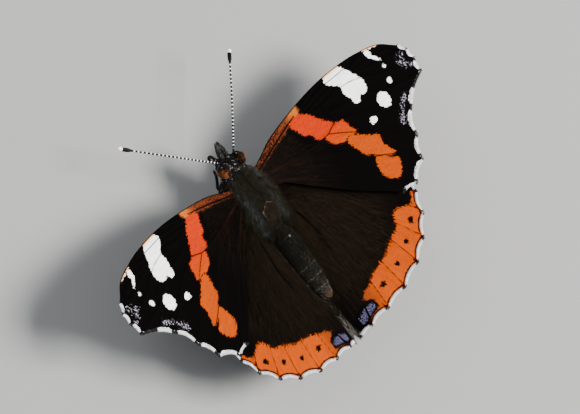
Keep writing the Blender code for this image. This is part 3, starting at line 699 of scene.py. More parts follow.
# Patches of scattered lilac scales: u, v and radius
FOREWING_DUST = (
    (29.2, 0.2, 0.60), (29.0, 1.6, 0.65), (29.8, 2.3, 0.45), (28.2, 1.0, 0.50), (25.9, 4.7, 0.50),
    (25.2, 5.0, 0.55), (24.4, 5.7, 0.50), (23.7, 6.6, 0.60), (23.1, 7.2, 0.50),
)
FOREWING_COSTAL = (
    (1.0, -1.3), (5.0, -2.7), (10.1, -3.72), (11.6, -3.95), (11.3, -3.0), (9.4, -2.55), (6.5, -1.75),
    (3.0, -0.85), (1.0, -0.4),
)
FOREWING_SPLIT = ((0.8, -0.6), (4.0, -1.45), (7.0, -2.25), (10.4, -3.0))
FOREWING_NOTCH = (
    (8.3, -2.2), (8.9, -2.2), (9.6, -0.8), (10.4, 0.3), (10.9, 1.5), (10.0, 1.4), (9.0, 0.4), (8.5, -0.8),
)
# Thin dark lines where the cell ends and where two veins cross the band, and across the white bar
FOREWING_DARK_VEINS = (
    ((11.5, 1.8), (12.9, 1.75), (14.0, 1.35), (14.9, 1.1)),
    ((12.9, 1.8), (14.7, 2.9), (16.7, 4.2)),
    ((15.6, 7.25), (16.9, 8.25), (19.5, 9.9)),
    ((16.8, -3.45), (18.8, -3.38), (21.0, -3.3)),
    ((18.5, -1.85), (20.2, -1.55), (22.2, -1.0)),
)
SOOT = (0.0009, 0.0006, 0.0006)
UMBER = (0.0026, 0.0014, 0.0008)
OLIVE_BROWN = (0.0070, 0.0045, 0.0022)
RUST = (0.0600, 0.0130, 0.0045)
COSTA_DARK = (0.0110, 0.0040, 0.0022)
COSTA_RUST = (0.1150, 0.0250, 0.0085)
COSTA_ORANGE = (0.3600, 0.0900, 0.0120)
BAND_RED = (0.3300, 0.0195, 0.0012)
BAND_ORANGE = (0.3000, 0.0400, 0.0004)
CHALK = (0.9300, 0.9300, 0.9300)
CREAM = (0.8500, 0.4200, 0.1600)
LILAC = (0.2300, 0.2100, 0.2600)
PALE_FRINGE = (0.560, 0.510, 0.430)


def forewing_upper():
    """Black outer half, brown base with rusty veins, orange-red band, white bar and spots, lilac dusting."""
    make = Finish("forewing_upper_scales")
    brown = make.mix(make.ramp(rays(make, 0.35, 12.0), 0.38, 0.68), UMBER, OLIVE_BROWN)
    brown = make.mix(make.times(make.ramp("vein", 0.22, 0.05), make.value("root"), 0.20), brown, RUST)
    # The costal streak: rust in fine flecks, split by a dark line, and orange where it meets the band
    flecks = make.plus(make.noise(0.24), make.times(make.ramp("along", 2.5, 10.0), 0.16))
    costal = make.layers(
        make.mix(make.ramp(flecks, 0.45, 0.70), COSTA_DARK, COSTA_RUST),
        (make.ramp("along", 8.6, 10.8), COSTA_ORANGE),
        (make.ramp("split", 0.17, 0.05), SOOT),
    )
    colour = make.layers(
        make.mix(make.value("base"), SOOT, brown),
        (inside(make, "notch", 0.5), SOOT),
        (inside(make, "costal", 0.40, 0.22), costal),
        (inside(make, "band", 0.42), make.mix(make.ramp("across", 0.5, 5.0), BAND_RED, BAND_ORANGE)),
        (inside(make, "white", 0.26), make.mix(make.ramp("front", 0.42, 0.16), CHALK, CREAM)),
        (speckled(make, 0.680), LILAC),
        (make.times(make.ramp("dark_vein", 0.12, 0.04), 0.9), SOOT),
        (make.ramp("front", 0.14, 0.07), SOOT),
        (inside(make, "fringe_white", 0.22), CHALK),
    )
    return scale_finish(make, colour, 0.75, 0.012)


def forewing_under():
    """A paler copy of the upper side: pink-red band, cream bar, blue specks, marbled brown apex."""
    make = Finish("forewing_under_scales")
    marble = make.patches(1.1, 0.40, 0.62, detail=4.0, roughness=0.6)
    apex = make.mix(marble, (0.030, 0.018, 0.011), (0.120, 0.080, 0.050))
    colour = make.layers(
        make.mix(make.ramp("along", 21.0, 25.0), (0.010, 0.007, 0.006), apex),
        (inside(make, "costal", 0.4, 0.15), (0.130, 0.070, 0.040)),
        (inside(make, "band", 0.5), (0.420, 0.070, 0.040)),
        (inside(make, "white", 0.4), (0.700, 0.660, 0.580)),
        (speckled(make, 0.58), (0.080, 0.110, 0.260)),
        (make.times(make.ramp("dark_vein", 0.14, 0.04), 0.8), SOOT),
        (inside(make, "fringe_white", 0.3), PALE_FRINGE),
    )
    return scale_finish(make, colour, 0.66, 0.1)


add_wing(forewing, [forewing_upper(), forewing_under()], {
    **ray_values(forewing, (-3.0, -1.5)),
    "split": distance_to_lines(forewing.flat, soft_lines(FOREWING_SPLIT)),
    "band": union(*(blob(part, forewing.flat) for part in FOREWING_BAND)),
    "white": union(
        *(blob(part, forewing.flat) for part in FOREWING_WHITE),
        *(spot(centre, radii, forewing.flat) for centre, radii in FOREWING_SPOTS),
    ),
    "dust": sum(bump(np.hypot(forewing.u - u, forewing.v - v), radius) for u, v, radius in FOREWING_DUST),
    "costal": blob(FOREWING_COSTAL, forewing.flat),
    "notch": blob(FOREWING_NOTCH, forewing.flat),
    "dark_vein": distance_to_lines(forewing.flat, soft_lines(*FOREWING_DARK_VEINS)),
    "vein": forewing.from_vein,
    "base": np.clip(1.15 - np.hypot(forewing.u, 0.8 * forewing.v) / 11.0, 0.0, 1.0),
    "root": np.clip(1.1 - forewing.u / 8.5, 0.0, 1.0),
    "along": forewing.u,
    "across": forewing.v,
    "front": distance_to_lines(forewing.flat, [forewing.flat[::6, 0]]),
    "fringe_white": fringe_marks(forewing)[1],
})

# Hindwings
# Broader thin membranes, hinged behind and below the forewings and folded down beside the abdomen.
# The orange band runs out past the margin, where the fringe ends it.
hindwing = make_wing(
    name="hindwing",
    hinge=(0.5, 0.20),
    costa=((2.6, -1.40), (5.5, -1.25), (10.5, 0.35), (15.2, 3.50), (18.5, 7.30)),
    ends=(
        (19.55, 10.10), (18.95, 12.30), (17.75, 15.10), (15.35, 17.65), (12.30, 19.55), (8.40, 20.85),
        (4.45, 21.35), (0.95, 21.55), (-0.95, 21.70),
    ),
    inner=(
        (-1.22, 20.20), (-1.42, 18.30), (-1.38, 16.60), (-1.50, 15.05), (-0.98, 13.30), (0.12, 11.00),
        (0.55, 8.00), (0.50, 5.00),
    ),
    root=((0.60, -1.30), (0.40, 2.60)),
    veins=(
        ((0.6, 0.15), (6.0, 0.90), (13.5, 4.30), (19.55, 10.10)),
        ((0.6, 0.45), (7.5, 4.40), (14.2, 9.60), (17.75, 15.10)),
        ((6.1, 5.30), (10.2, 9.20), (13.2, 13.60), (15.35, 17.65)),
        ((6.1, 6.60), (8.8, 10.40), (10.9, 14.60), (12.30, 19.55)),
        ((5.0, 7.60), (6.8, 11.80), (7.8, 16.00), (8.40, 20.85)),
        ((3.9, 6.60), (4.7, 11.00), (4.7, 16.00), (4.45, 21.35)),
        ((2.7, 4.30), (2.9, 9.50), (2.3, 16.00), (0.95, 21.55)),
        ((0.6, 1.00), (2.7, 4.30), (3.9, 6.60), (5.0, 7.60)),
        ((4.4, 3.10), (6.1, 5.30), (6.1, 6.60), (5.0, 7.60)),
    ),
    reach=23.0,
    camber=0.30,
    gutter=0.75,
    fringe=0.34,
    whites=8 * ((0.10, 0.90, 0.0),),
    rows=190,
    columns=130,
)
HINDWING_BAND = (
    (14.0, 12.3), (15.1, 12.3), (16.2, 12.75), (17.1, 12.9), (17.7, 12.0), (19.3, 11.7), (21.0, 13.0),
    (18.5, 18.0), (14.0, 21.8), (8.4, 23.0), (2.0, 23.0), (-1.0, 22.6), (-0.6, 21.1), (1.0, 20.7),
    (2.3, 20.0), (2.9, 19.0), (2.3, 18.0), (3.2, 17.4), (4.3, 17.1), (5.5, 16.5), (7.3, 16.0), (8.1, 15.9),
    (10.3, 15.0), (11.1, 14.6), (12.6, 14.0), (13.2, 13.2),
)
HINDWING_DOTS = (
    ((15.35, 14.5), (0.50, 0.44)),
    ((12.75, 16.2), (0.42, 0.36)),
    ((9.6, 17.6), (0.46, 0.34)),
    ((5.95, 18.3), (0.56, 0.36)),
)
HINDWING_CORNER_SPOT = ((16.0, 11.9), (0.85, 0.55))
HINDWING_EYELET_RADII = (0.75, 0.6)
HINDWING_PALE_MARK = ((9.5, 1.6), (1.6, 0.9))
HINDWING_VIOLET = (
    (3.1, 19.35), (2.0, 19.0), (0.7, 19.30), (0.1, 19.7), (0.15, 20.45), (0.7, 20.4), (2.0, 19.95),
    (3.1, 19.85),
)
HINDWING_VIOLET_FRAME = (
    (3.5, 18.9), (2.0, 18.45), (0.3, 18.85), (-1.0, 19.7), (-1.4, 20.6), (-0.9, 21.0), (0.7, 20.75),
    (2.0, 20.3), (3.3, 20.15),
)
# A crease beside the abdomen, where the inner edge is folded down. Painted shade: a dark line along it stands
# in for the shadow in the fold.
HINDWING_SHADED_CREASE = (
    (2.2, 3.0), (2.64, 4.4), (2.95, 6.0), (2.95, 8.8), (2.55, 9.9), (1.4, 10.9), (0.4, 11.4),
)
# Thin dark lines: one that runs inside the margin, and one on a vein in the corner of the band
HINDWING_DARK_LINES = (
    ((-0.9, 21.3), (1.5, 21.0), (4.5, 20.95), (6.5, 20.35), (8.5, 20.45), (10.5, 19.5)),
    ((15.9, 12.5), (16.8, 13.5), (17.6, 14.8)),
)
MARGIN_LINE_INSET = 0.28
MARGIN_LINE_HALF_WIDTH = 0.10
BAND_BROWN = (0.150, 0.026, 0.004)
VIOLET = (0.0800, 0.0740, 0.1450)


def hindwing_upper():
    """Brown disc, orange band with black dots, violet mark in a black frame, dark lines, white edge, painted
    shade in the crease.
    """
    make = Finish("hindwing_upper_scales")
    brown = make.mix(make.ramp(rays(make, 0.30, 16.0, 3.0), 0.40, 0.66), UMBER, OLIVE_BROWN)
    grain = make.plus(make.times(rays(make, 0.10, 1.4), 0.45), make.times(make.noise(0.13), 0.55))
    patchy = make.times(make.ramp(grain, 0.47, 0.55), make.ramp("vein", 0.08, 0.26))
    colour = make.layers(
        make.mix(make.value("base"), SOOT, brown),
        (inside(make, "band", 0.75, 0.05), make.mix(make.ramp("along", 2.5, 5.5), BAND_BROWN, BAND_ORANGE)),
        (make.times(make.ramp("vein", 0.12, 0.03), 0.9), SOOT),
        (inside(make, "black", 0.35), SOOT),
        (inside(make, "violet", 0.45), make.mix(patchy, SOOT, VIOLET)),
        (make.times(make.ramp("dark_vein", 0.13, 0.05), 0.85), SOOT),
        (inside(make, "margin_line", 0.12), SOOT),
        (inside(make, "fringe_white", 0.25), CHALK),
        # Painted shade: a dark line along the crease beside the abdomen, for the shadow in the fold
        (make.ramp("crease", 0.20, 0.06), SOOT),
    )
    return scale_finish(make, colour, 0.75, 0.012)


def hindwing_under():
    """Marbled brown, black and grey-violet with dark eyelets near the edge and a pale mark at the front."""
    make = Finish("hindwing_under_scales")
    marble = make.patches(1.6, 0.42, 0.60, detail=5.0, roughness=0.62)
    mottle = make.patches(0.7, 0.45, 0.62, detail=3.0, roughness=0.6)
    colour = make.layers(
        make.mix(marble, (0.012, 0.008, 0.006), (0.075, 0.048, 0.028)),
        (make.times(mottle, 0.5), (0.110, 0.095, 0.105)),
        (make.times(make.ramp("vein", 0.20, 0.06), 0.6), (0.12, 0.085, 0.055)),
        (make.times(inside(make, "pale", 0.5, 0.1), 0.85), (0.460, 0.400, 0.310)),
        (make.times(make.ramp("edge", 3.4, 2.2), 0.45), (0.140, 0.110, 0.090)),
        (inside(make, "eyelets", 0.3), (0.008, 0.008, 0.020)),
        (inside(make, "margin_line", 0.12), SOOT),
        (inside(make, "fringe_white", 0.25), PALE_FRINGE),
    )
    return scale_finish(make, colour, 0.68, 0.1)


hindwing_edge, hindwing_crescent, hindwing_wedge = fringe_marks(hindwing)
add_wing(hindwing, [hindwing_upper(), hindwing_under()], {
    **ray_values(hindwing, (1.0, -3.0)),
    "band": blob(HINDWING_BAND, hindwing.flat),
    "black": union(
        *(spot(centre, radii, hindwing.flat) for centre, radii in (*HINDWING_DOTS, HINDWING_CORNER_SPOT)),
        blob(HINDWING_VIOLET_FRAME, hindwing.flat),
        hindwing_wedge,
    ),
    "violet": blob(HINDWING_VIOLET, hindwing.flat),
    "dark_vein": distance_to_lines(hindwing.flat, soft_lines(*HINDWING_DARK_LINES)),
    "vein": hindwing.from_vein,
    "base": np.clip(1.3 - np.hypot(0.9 * (hindwing.u - 3.0), hindwing.v - 9.0) / 11.0, 0.0, 1.0),
    "along": hindwing.u,
    "edge": hindwing_edge,
    "margin_line": np.abs(hindwing_edge - MARGIN_LINE_INSET) - MARGIN_LINE_HALF_WIDTH,
    "fringe_white": hindwing_crescent,
    "pale": spot(*HINDWING_PALE_MARK, hindwing.flat),
    "crease": distance_to_lines(hindwing.flat, soft_lines(HINDWING_SHADED_CREASE)),
    "eyelets": union(*(spot(centre, HINDWING_EYELET_RADII, hindwing.flat) for centre, _ in HINDWING_DOTS)),
})

# Wing fringes
# Flat, hair-fine scales in two staggered rows along each outer edge, white between the veins and black at
# their ends. They are rooted on the membrane's edge and reach as far as the wing's own outline.
FRINGE_STEP = 0.055
FRINGE_ROOT = 0.16
FRINGE_WIDTHS = 0.075 * np.array((0.7, 1.0, 0.8))
FRINGE_THICK = 0.25
FRINGE_STATIONS = np.array((0.0, 0.4, 0.8, 1.0))
FRINGE_BLACK = (0.0020, 0.0016, 0.0016)
BLADE_RINGS = 3
UNWRAP_PATCH = 0.003
UNWRAP_SPAN = 34.0


def unit(vectors):
    """Vectors of length one."""
    return vectors / np.maximum(np.linalg.norm(vectors, axis=-1, keepdims=True), 1e-9)


def wing_place(wing, flat, height, side):
    """Body-frame points over a wing, from u and v and the height over its middle."""
    u, v = flat[..., 0], flat[..., 1]
    x = side * (HINGE_X + u * WING_COS) - side * height * WING_SIN
    return np.stack([x, wing.hinge[0] + v, wing_level(wing, u, v) + height * WING_COS], axis=-1)


def add_blades(name, material, paths, across, upward, widths, thick, values, unwrap_place):
    """Many thin tapered blades as one piece: three-sided rings along each path, and a point at its tip.

    paths is blades by stations by three, and the last station is the tip. across and upward are unit
    vectors for each blade, widths is blades by rings, and thick is a share of the width. Each blade has
    its own patch of the unwrap, at the place given for it.
    """
    tip = 3 * BLADE_RINGS
    parts = [
        paths[:, :-1] + widths[..., None] * (a * across[:, None] + b * upward[:, None])
        for a, b in ((-0.5, 0.0), (0.5, 0.0), (0.0, thick))
    ]
    points = np.concatenate([np.stack(parts, axis=2).reshape(-1, tip, 3), paths[:, -1:]], axis=1)
    fans = np.array([(tip - 3, tip - 2, tip), (tip - 2, tip - 1, tip), (tip - 1, tip - 3, tip), (0, 2, 1)])
    start = np.arange(len(paths))[:, None, None] * (tip + 1)
    faces = [(start + grid_faces(BLADE_RINGS, 3, True)).reshape(-1, 4), (start + fans).reshape(-1, 3)]
    down = np.append(np.repeat(np.arange(BLADE_RINGS), 3) / BLADE_RINGS, 1.0)
    over = np.append(np.tile((0.0, 0.5, 1.0), BLADE_RINGS), 0.5)
    patch = np.stack([over, down], axis=1) * UNWRAP_PATCH - 0.5 * UNWRAP_PATCH
    unwrap = (unwrap_place[:, None] + patch[None]).reshape(-1, 2)
    add_piece(name, points.reshape(-1, 3), faces, [material], values=values, unwrap=unwrap)


def fringe_finish():
    """White or black scales by the shade that each one carries."""
    make = Finish("fringe_scales")
    pale = make.mix(make.noise(0.3), (0.72, 0.72, 0.74), (0.90, 0.90, 0.91))
    return make.finish(make.mix(make.value("pale"), FRINGE_BLACK, pale), 0.7, specular=0.2)


def add_fringe(wing, material, dark_root, seed):
    """A wing's fringe, left and right. Its scales lean a little at random, and may be dark at the root."""
    draw = np.random.default_rng(seed)
    edge = membrane_edge(wing)
    count = int(2 * run_lengths(edge)[-1] / FRINGE_STEP)
    roots = evenly(edge, count)
    along = unit(running_mean(np.gradient(roots, axis=0), 17))
    outward = np.stack([along[:, 1], -along[:, 0]], axis=1)
    outward = unit(outward + along * draw.normal(0.0, 0.16, count)[:, None])
    within, _ = white_part(wing, count)
    pale = (within + draw.normal(0.0, 0.05, count) > 0.0) * draw.uniform(0.80, 1.0, count)
    lengths = wing.fringe * draw.uniform(0.70, 1.10, count) + FRINGE_ROOT
    roots = roots - FRINGE_ROOT * outward
    shade = np.append(np.repeat((1.0 - dark_root, 1.0 - 0.4 * dark_root, 1.0), 3), 1.0)
    flat = roots[:, None] + (FRINGE_STATIONS * lengths[:, None])[..., None] * outward[:, None]
    lift = np.random.default_rng(seed + 50).uniform(-0.035, 0.035, count)[:, None]
    unwrap_place = (roots - flat.reshape(-1, 2).min(axis=0)) / UNWRAP_SPAN
    for side, word in SIDES:
        paths = wing_place(wing, flat, lift, side)
        across = np.stack([side * along[:, 0], along[:, 1], 0.0 * along[:, 0]], axis=1)
        upward = np.tile((-side * WING_SIN, 0.0, WING_COS), (count, 1))
        add_blades(
            f"{wing.name}_fringe_{word}", material, paths, across, upward,
            np.tile(FRINGE_WIDTHS, (count, 1)), FRINGE_THICK, {"pale": np.outer(pale, shade)}, unwrap_place,
        )


fringe_material = fringe_finish()
add_fringe(forewing, fringe_material, 0.0, 11)
add_fringe(hindwing, fringe_material, 0.6, 12)

# Eyes
# Large domes of many small lenses, which bulge from the sides of the head. The lenses are a fine relief
# on a smooth dome, nearly black in front and orange-brown behind.
EYE_Y = -6.30
EYE_Z = 1.25
EYE_RADII = (1.05, 0.90)
EYE_BASE_X = 1.30
EYE_BULGE = 1.40
EYE_DARK = (0.0040, 0.0022, 0.0016)
EYE_BROWN = (0.0620, 0.0150, 0.0035)
EYE_ORANGE = (0.1120, 0.0310, 0.0048)


def eye_finish():
    """Mottled orange behind and below, nearly black in front, with a border that wanders."""
    make = Finish("compound_eye")
    backward = make.minus(make.axis("Y"), EYE_Y)
    downward = make.times(make.minus(EYE_Z, make.axis("Z")), 0.3)
    wander = make.times(make.minus(make.noise(0.6, 1.0), 0.5), 1.4)
    light_part = make.ramp(make.plus(make.plus(backward, downward), wander), -0.65, 0.0)
    colour = make.mix(light_part, EYE_DARK, make.mix(make.patches(0.30, 0.40, 0.62), EYE_BROWN, EYE_ORANGE))
    lenses = make.cells(0.075)
    return make.finish(colour, 0.40, sheen=0.10, specular=0.05, relief=lenses, relief_height=0.012)


eye_material = eye_finish()
eye_turn = np.linspace(0.0, 0.5 * math.pi, 40, endpoint=False)[:, None]
eye_round = np.linspace(0.0, math.tau, 72, endpoint=False)[None, :]
eye_dome = np.stack([
    EYE_BASE_X + EYE_BULGE * np.sin(eye_turn) + 0.0 * eye_round,
    EYE_Y + EYE_RADII[0] * np.cos(eye_turn) * np.cos(eye_round),
    EYE_Z + EYE_RADII[1] * np.cos(eye_turn) * np.sin(eye_round),
], axis=-1)
for side, word in SIDES:
    points, faces = closed_tube(eye_dome * (side, 1.0, 1.0))
    add_piece("compound_eye_" + word, points, faces, [eye_material], ("eye_" + word,))

# Antennae
# Thin jointed shafts, ringed black and white, each with a black club and a cream tip. They are set in
# the forehead, spread forwards, and bow up and outwards a little.
ANTENNA_ROOT = (0.60, -6.60, 1.45)
ANTENNA_TIP = (12.25, -17.60, 0.58)
ANTENNA_BOW = 0.10
ANTENNA_ROWS = 480
ANTENNA_SIDES = 12
SHAFT_RADIUS = 0.125
CLUB_RADIUS = 0.28
CLUB_LENGTH = 2.25
CLUB_SWELL = 0.95
CLUB_ROUND = 0.24
RING_SHARE = 0.42
RING_SOFTNESS = 0.125
RING_PINCH = 0.10
# Distance from one white ring to the next at the head and at the club
RING_STEPS = (0.42, 0.60)
# From the head there is a stretch without rings, and then one over which they come in
RINGLESS = 1.2
RING_FADE = 2.0


def frame_along(path):
    """Two unit vectors square to a path at each of its points, the first as level as it can be."""
    along = unit(np.gradient(path, axis=0))
    across = unit(np.cross(along, (0.0, 0.0, 1.0)))
    return across, np.cross(across, along)


def tube_rings(path, radii, sides):
    """Rings of a tube: a circle square to the path at each point."""
    across, raised = frame_along(path)
    turn = np.linspace(0.0, math.tau, sides, endpoint=False)[None, :, None]
    ring = np.cos(turn) * across[:, None] + np.sin(turn) * raised[:, None]
    return path[:, None] + np.asarray(radii)[:, None, None] * ring


def add_tubes(name, node, slot, material, path, radii, sides, values=None):
    """A left and a right tube round a path and its mirror image, flat where it would pass the floor."""
    for side, word in SIDES:
        points, faces = closed_tube(tube_rings(path * (side, 1.0, 1.0), radii, sides))
        points[:, 2] = np.maximum(points[:, 2], -BODY_HEIGHT)
        add_piece(f"{name}_{word}", points, faces, [material], (f"{node}_{word}",), values)


def antenna_finish():
    """Black, with ragged white rings and a cream tip, by the numbers that the shaft carries."""
    make = Finish("antenna_rings")
    ringed = make.ramp(make.plus(make.value("ring"), make.times(make.noise(0.09, 1.0), 0.5)), 0.62, 0.80)
    colour = make.layers(
        make.mix(ringed, (0.0015, 0.0013, 0.0013), (0.88, 0.88, 0.86)),
        (make.ramp("tip", 0.66, 0.54), (0.95, 0.86, 0.66)),
    )
    return make.finish(colour, 0.6, specular=0.1)


antenna_t = np.linspace(0.0, 1.0, ANTENNA_ROWS)
antenna_reach = np.array(ANTENNA_TIP) - ANTENNA_ROOT
antenna_length = np.linalg.norm(antenna_reach)
antenna_line = ANTENNA_ROOT + antenna_t[:, None] * antenna_reach
antenna_line[:, [0, 2]] += ANTENNA_BOW * np.sin(math.pi * antenna_t)[:, None]
from_tip = (1.0 - antenna_t) * antenna_length
# Rings are counted from the club, and lie closer together towards the head
from_club = np.maximum(from_tip - CLUB_LENGTH, 0.0)
to_head = from_club / (antenna_length - CLUB_LENGTH)
steps = RING_STEPS[1] + (RING_STEPS[0] - RING_STEPS[1]) * to_head**2
ring_count = np.concatenate(([0.0], np.cumsum(np.diff(from_club[::-1]) / steps[::-1][1:])))[::-1]
# The shaft is pinched between its joints, swells into the club and is round at the end
swell = np.clip((CLUB_LENGTH - from_tip) / CLUB_SWELL, 0.0, 1.0)
antenna_radii = SHAFT_RADIUS + (CLUB_RADIUS - SHAFT_RADIUS) * (3.0 - 2.0 * swell) * swell**2
antenna_radii *= 1.0 - RING_PINCH * np.abs(np.cos(math.pi * (ring_count - 0.5 * RING_SHARE))) ** 8
antenna_radii *= np.sqrt(1.0 - np.clip(1.0 - from_tip / CLUB_ROUND, 0.0, 0.99) ** 2)
# A ring starts at each whole number of the count, with soft edges
past_start = ring_count % 1.0
in_ring = np.clip(np.minimum(past_start, RING_SHARE - past_start) / RING_SOFTNESS, 0.0, 1.0)
fade = np.clip((antenna_length - from_tip - RINGLESS) / RING_FADE, 0.0, 1.0) ** 0.5
ring_share = in_ring * (from_club > 0.0) * fade
antenna_values = {
    "ring": np.concatenate([np.repeat(ring_share, ANTENNA_SIDES), [0.0, 0.0]]),
    "tip": np.concatenate([np.repeat(from_tip, ANTENNA_SIDES), [antenna_length, 0.0]]),
}
add_tubes(
    "antenna_shaft", "antenna", "antenna", antenna_finish(), antenna_line, antenna_radii, ANTENNA_SIDES,
    antenna_values,
)

# Palps and tongue
# Two upturned scaly palps in front of the face, and between them the tongue, a tube coiled like a spring,
# whose first stretch climbs from the coil into the mouth.
PALP_LINE = ((0.42, -7.40, 0.92), (0.42, -8.20, 1.14), (0.34, -9.00, 1.34), (0.17, -9.74, 1.52))
PALP_RADIUS = 0.41
PALP_SIDES = 24
TONGUE_CENTRE = (-8.20, -1.38)
TONGUE_RADII = (0.62, 0.20)
TONGUE_TURNS = 2.6
TONGUE_THICKNESS = 0.105
TONGUE_TAPER = 0.45
MOUTH_LINE = ((0.0, -7.72, 0.05), (0.0, -7.90, -0.45))


def tongue_finish():
    """Dark horn, brown in patches."""
    make = Finish("tongue")
    colour = make.mix(make.noise(0.12), (0.0060, 0.0035, 0.0025), (0.0180, 0.0100, 0.0060))
    return make.finish(colour, 0.55, specular=0.12, relief=make.noise(0.06))


palp_t = np.linspace(0.0, 1.0, 60)
palp_curve = smooth_through(PALP_LINE, palp_t)
palp_radii = PALP_RADIUS * (1.0 - 0.72 * palp_t**1.3) * np.sqrt(np.clip((1.0 - palp_t) / 0.08, 0.02, 1.0))
add_tubes("palp_skin", "labial_palp", "body_fur", skin_material, palp_curve, palp_radii, PALP_SIDES)

tongue_t = np.linspace(0.0, 1.0, 260)
tongue_turn = math.tau * TONGUE_TURNS * tongue_t
tongue_radius = TONGUE_RADII[0] + (TONGUE_RADII[1] - TONGUE_RADII[0]) * tongue_t
tongue_curve = np.stack([
    0.0 * tongue_t,
    TONGUE_CENTRE[0] - tongue_radius * np.sin(tongue_turn),
    TONGUE_CENTRE[1] + tongue_radius * np.cos(tongue_turn),
], axis=1)
mouth = smooth_through((*MOUTH_LINE, tongue_curve[0]), np.linspace(0.0, 0.95, 24))
tongue_curve = np.concatenate([mouth, tongue_curve])
tongue_out = np.cross(unit(np.gradient(tongue_curve, axis=0)), (1.0, 0.0, 0.0))
tongue_size = TONGUE_THICKNESS * np.linspace(1.0, TONGUE_TAPER, len(tongue_curve))
tongue_ring = np.linspace(0.0, math.tau, 16, endpoint=False)[None, :, None]
tongue_rings = tongue_curve[:, None] + tongue_size[:, None, None] * (
    np.cos(tongue_ring) * np.array((1.0, 0.0, 0.0)) + np.sin(tongue_ring) * tongue_out[:, None]
)
points, faces = closed_tube(tongue_rings)
add_piece("tongue_coil", points, faces, [tongue_finish()], ("proboscis",))

# Legs
# Four walking legs of coxa, femur, tibia and a five-part foot that lies flat on the floor, and two short
# forelegs, folded to the chest. All are covered with scales, on the walking legs paler near the floor.
LEG_RADII = (0.42, 0.36, 0.21)
LEG_SIDES = 16
LEG_PALE_TO = 1.4
LEG_DARK_FROM = 2.6
FOOT_RADIUS = 0.155
FOOT_PARTS = 5
# The joints, the heel and the toe of each walking leg
LEG_SHAPES = {
    "midleg": (
        ((1.45, -0.80, -2.1), (3.2, -0.80, -3.35), (5.4, -1.10, -2.35), (6.7, -1.60, -4.60)),
        (7.15, -1.90),
        (9.75, -3.10),
    ),
    "hindleg": (
        ((1.20, 1.70, -1.7), (2.5, 2.80, -3.10), (4.1, 5.00, -2.35), (5.2, 7.60, -4.60)),
        (5.45, 8.20),
        (6.3, 11.20),
    ),
}
FORELEG_LINE = (
    (0.80, -3.80, -1.90), (0.92, -4.70, -2.85), (0.82, -5.50, -2.30), (0.76, -6.30, -1.72),
    (0.72, -7.05, -1.50),
)
FORELEG_RADIUS = 0.25


def leg_line(joints, heel, toe):
    """Centre line and thickness of a leg: each part thins at its joints, and so do the parts of the foot."""
    joints = np.array(joints)
    heel, toe = (np.array((*end, FOOT_RADIUS - BODY_HEIGHT)) for end in (heel, toe))
    t = np.linspace(0.0, 1.0, 26, endpoint=False)
    drop = np.linspace(0.0, 1.0, 8, endpoint=False)
    foot = np.linspace(0.0, 1.0, 60)
    line = [start + t[:, None] * (end - start) for start, end in zip(joints, joints[1:])]
    line += [joints[-1] + drop[:, None] * (heel - joints[-1]), heel + foot[:, None] * (toe - heel)]
    thickness = [radius * (0.72 + 0.28 * np.sin(math.pi * t) ** 0.7) for radius in LEG_RADII]
    knobs = np.abs(np.sin(FOOT_PARTS * math.pi * foot)) ** 0.6
    thickness += [np.full(len(drop), 0.9 * FOOT_RADIUS), FOOT_RADIUS * (0.74 + 0.26 * knobs)]
    return np.concatenate(line), np.concatenate(thickness)


def leg_finish():
    """Mottled scales, nearly black above and pale brown near the floor."""
    make = Finish("leg_scales")
    mottle = make.patches(0.35, 0.40, 0.62, detail=3.0)
    pale = make.mix(mottle, (0.060, 0.036, 0.020), (0.150, 0.100, 0.060))
    dark = make.mix(mottle, (0.006, 0.005, 0.004), (0.030, 0.024, 0.018))
    raised = make.ramp(make.axis("Z"), LEG_PALE_TO - BODY_HEIGHT, LEG_DARK_FROM - BODY_HEIGHT)
    colour = make.mix(raised, pale, dark)
    return make.finish(colour, 0.58, specular=0.3, relief=make.cells(0.09))


leg_material = leg_finish()
for name, shape in LEG_SHAPES.items():
    add_tubes(f"{name}_scaled", name, "leg", leg_material, *leg_line(*shape), LEG_SIDES)
foreleg_t = np.linspace(0.0, 1.0, 60)
foreleg_end = np.sqrt(np.clip((1.0 - foreleg_t) / 0.06, 0.02, 1.0))
foreleg_radii = FORELEG_RADIUS * (1.0 - 0.35 * foreleg_t) * foreleg_end
foreleg_curve = smooth_through(FORELEG_LINE, foreleg_t)
add_tubes("foreleg_scaled", "foreleg", "leg", skin_material, foreleg_curve, foreleg_radii, LEG_SIDES)

# Coat
# Fine hair and hair-like scales cover the body. They are rooted in the skin, lie towards the tail and
# carry the skin's own markings and painted sheen; the head and collar also have scattered white scales.
BLADE_STATIONS = np.array((0.0, 0.35, 0.72, 1.0))
BLADE_TAPER = np.array((0.75, 1.0, 0.7))
HAIR_THICK = 0.5
ROOT_DEPTH = 0.03
SPECK_RADIUS = 0.050
WHITE_HAIR = (0.62, 0.60, 0.56)
BODY_FRONT = SKIN_STATIONS[0][0]
BODY_LENGTH = SKIN_STATIONS[-1][0] - BODY_FRONT
# name, hairs, y from and to, turn from and to, length, width, lift, white specks, seed
COATS = (
    ("thorax_coat_upper", 12400, (-5.1, 3.3), (0.0, math.pi), 0.80, 0.044, 0.16, 0, 21),
    ("thorax_coat_lower", 6000, (-5.1, 3.3), (math.pi, math.tau), 0.95, 0.060, 0.24, 0, 22),
    ("abdomen_coat", 12000, (3.7, 15.0), (0.0, math.tau), 0.45, 0.046, 0.12, 0, 23),
    ("collar_coat", 5200, (-5.7, -4.5), (0.0, math.tau), 0.42, 0.046, 0.42, 14, 25),
    ("head_coat", 6500, (-7.9, -5.3), (0.0, math.tau), 0.34, 0.042, 0.60, 110, 24),
)
PALP_HAIRS = 1700
RIM_HAIRS = 1700


def hair_tone(make, hair, pale_hair):
    """A hair's colour: darker at its root, lighter at its tip, one hair unlike the next, and some pale."""
    tip = make.spread(make.value("reach"), 0.55, 1.35)
    own = make.spread(make.value("shade"), 0.55, 1.55)
    return make.mix(make.value("pale"), make.brighten(hair, make.times(tip, own)), pale_hair)


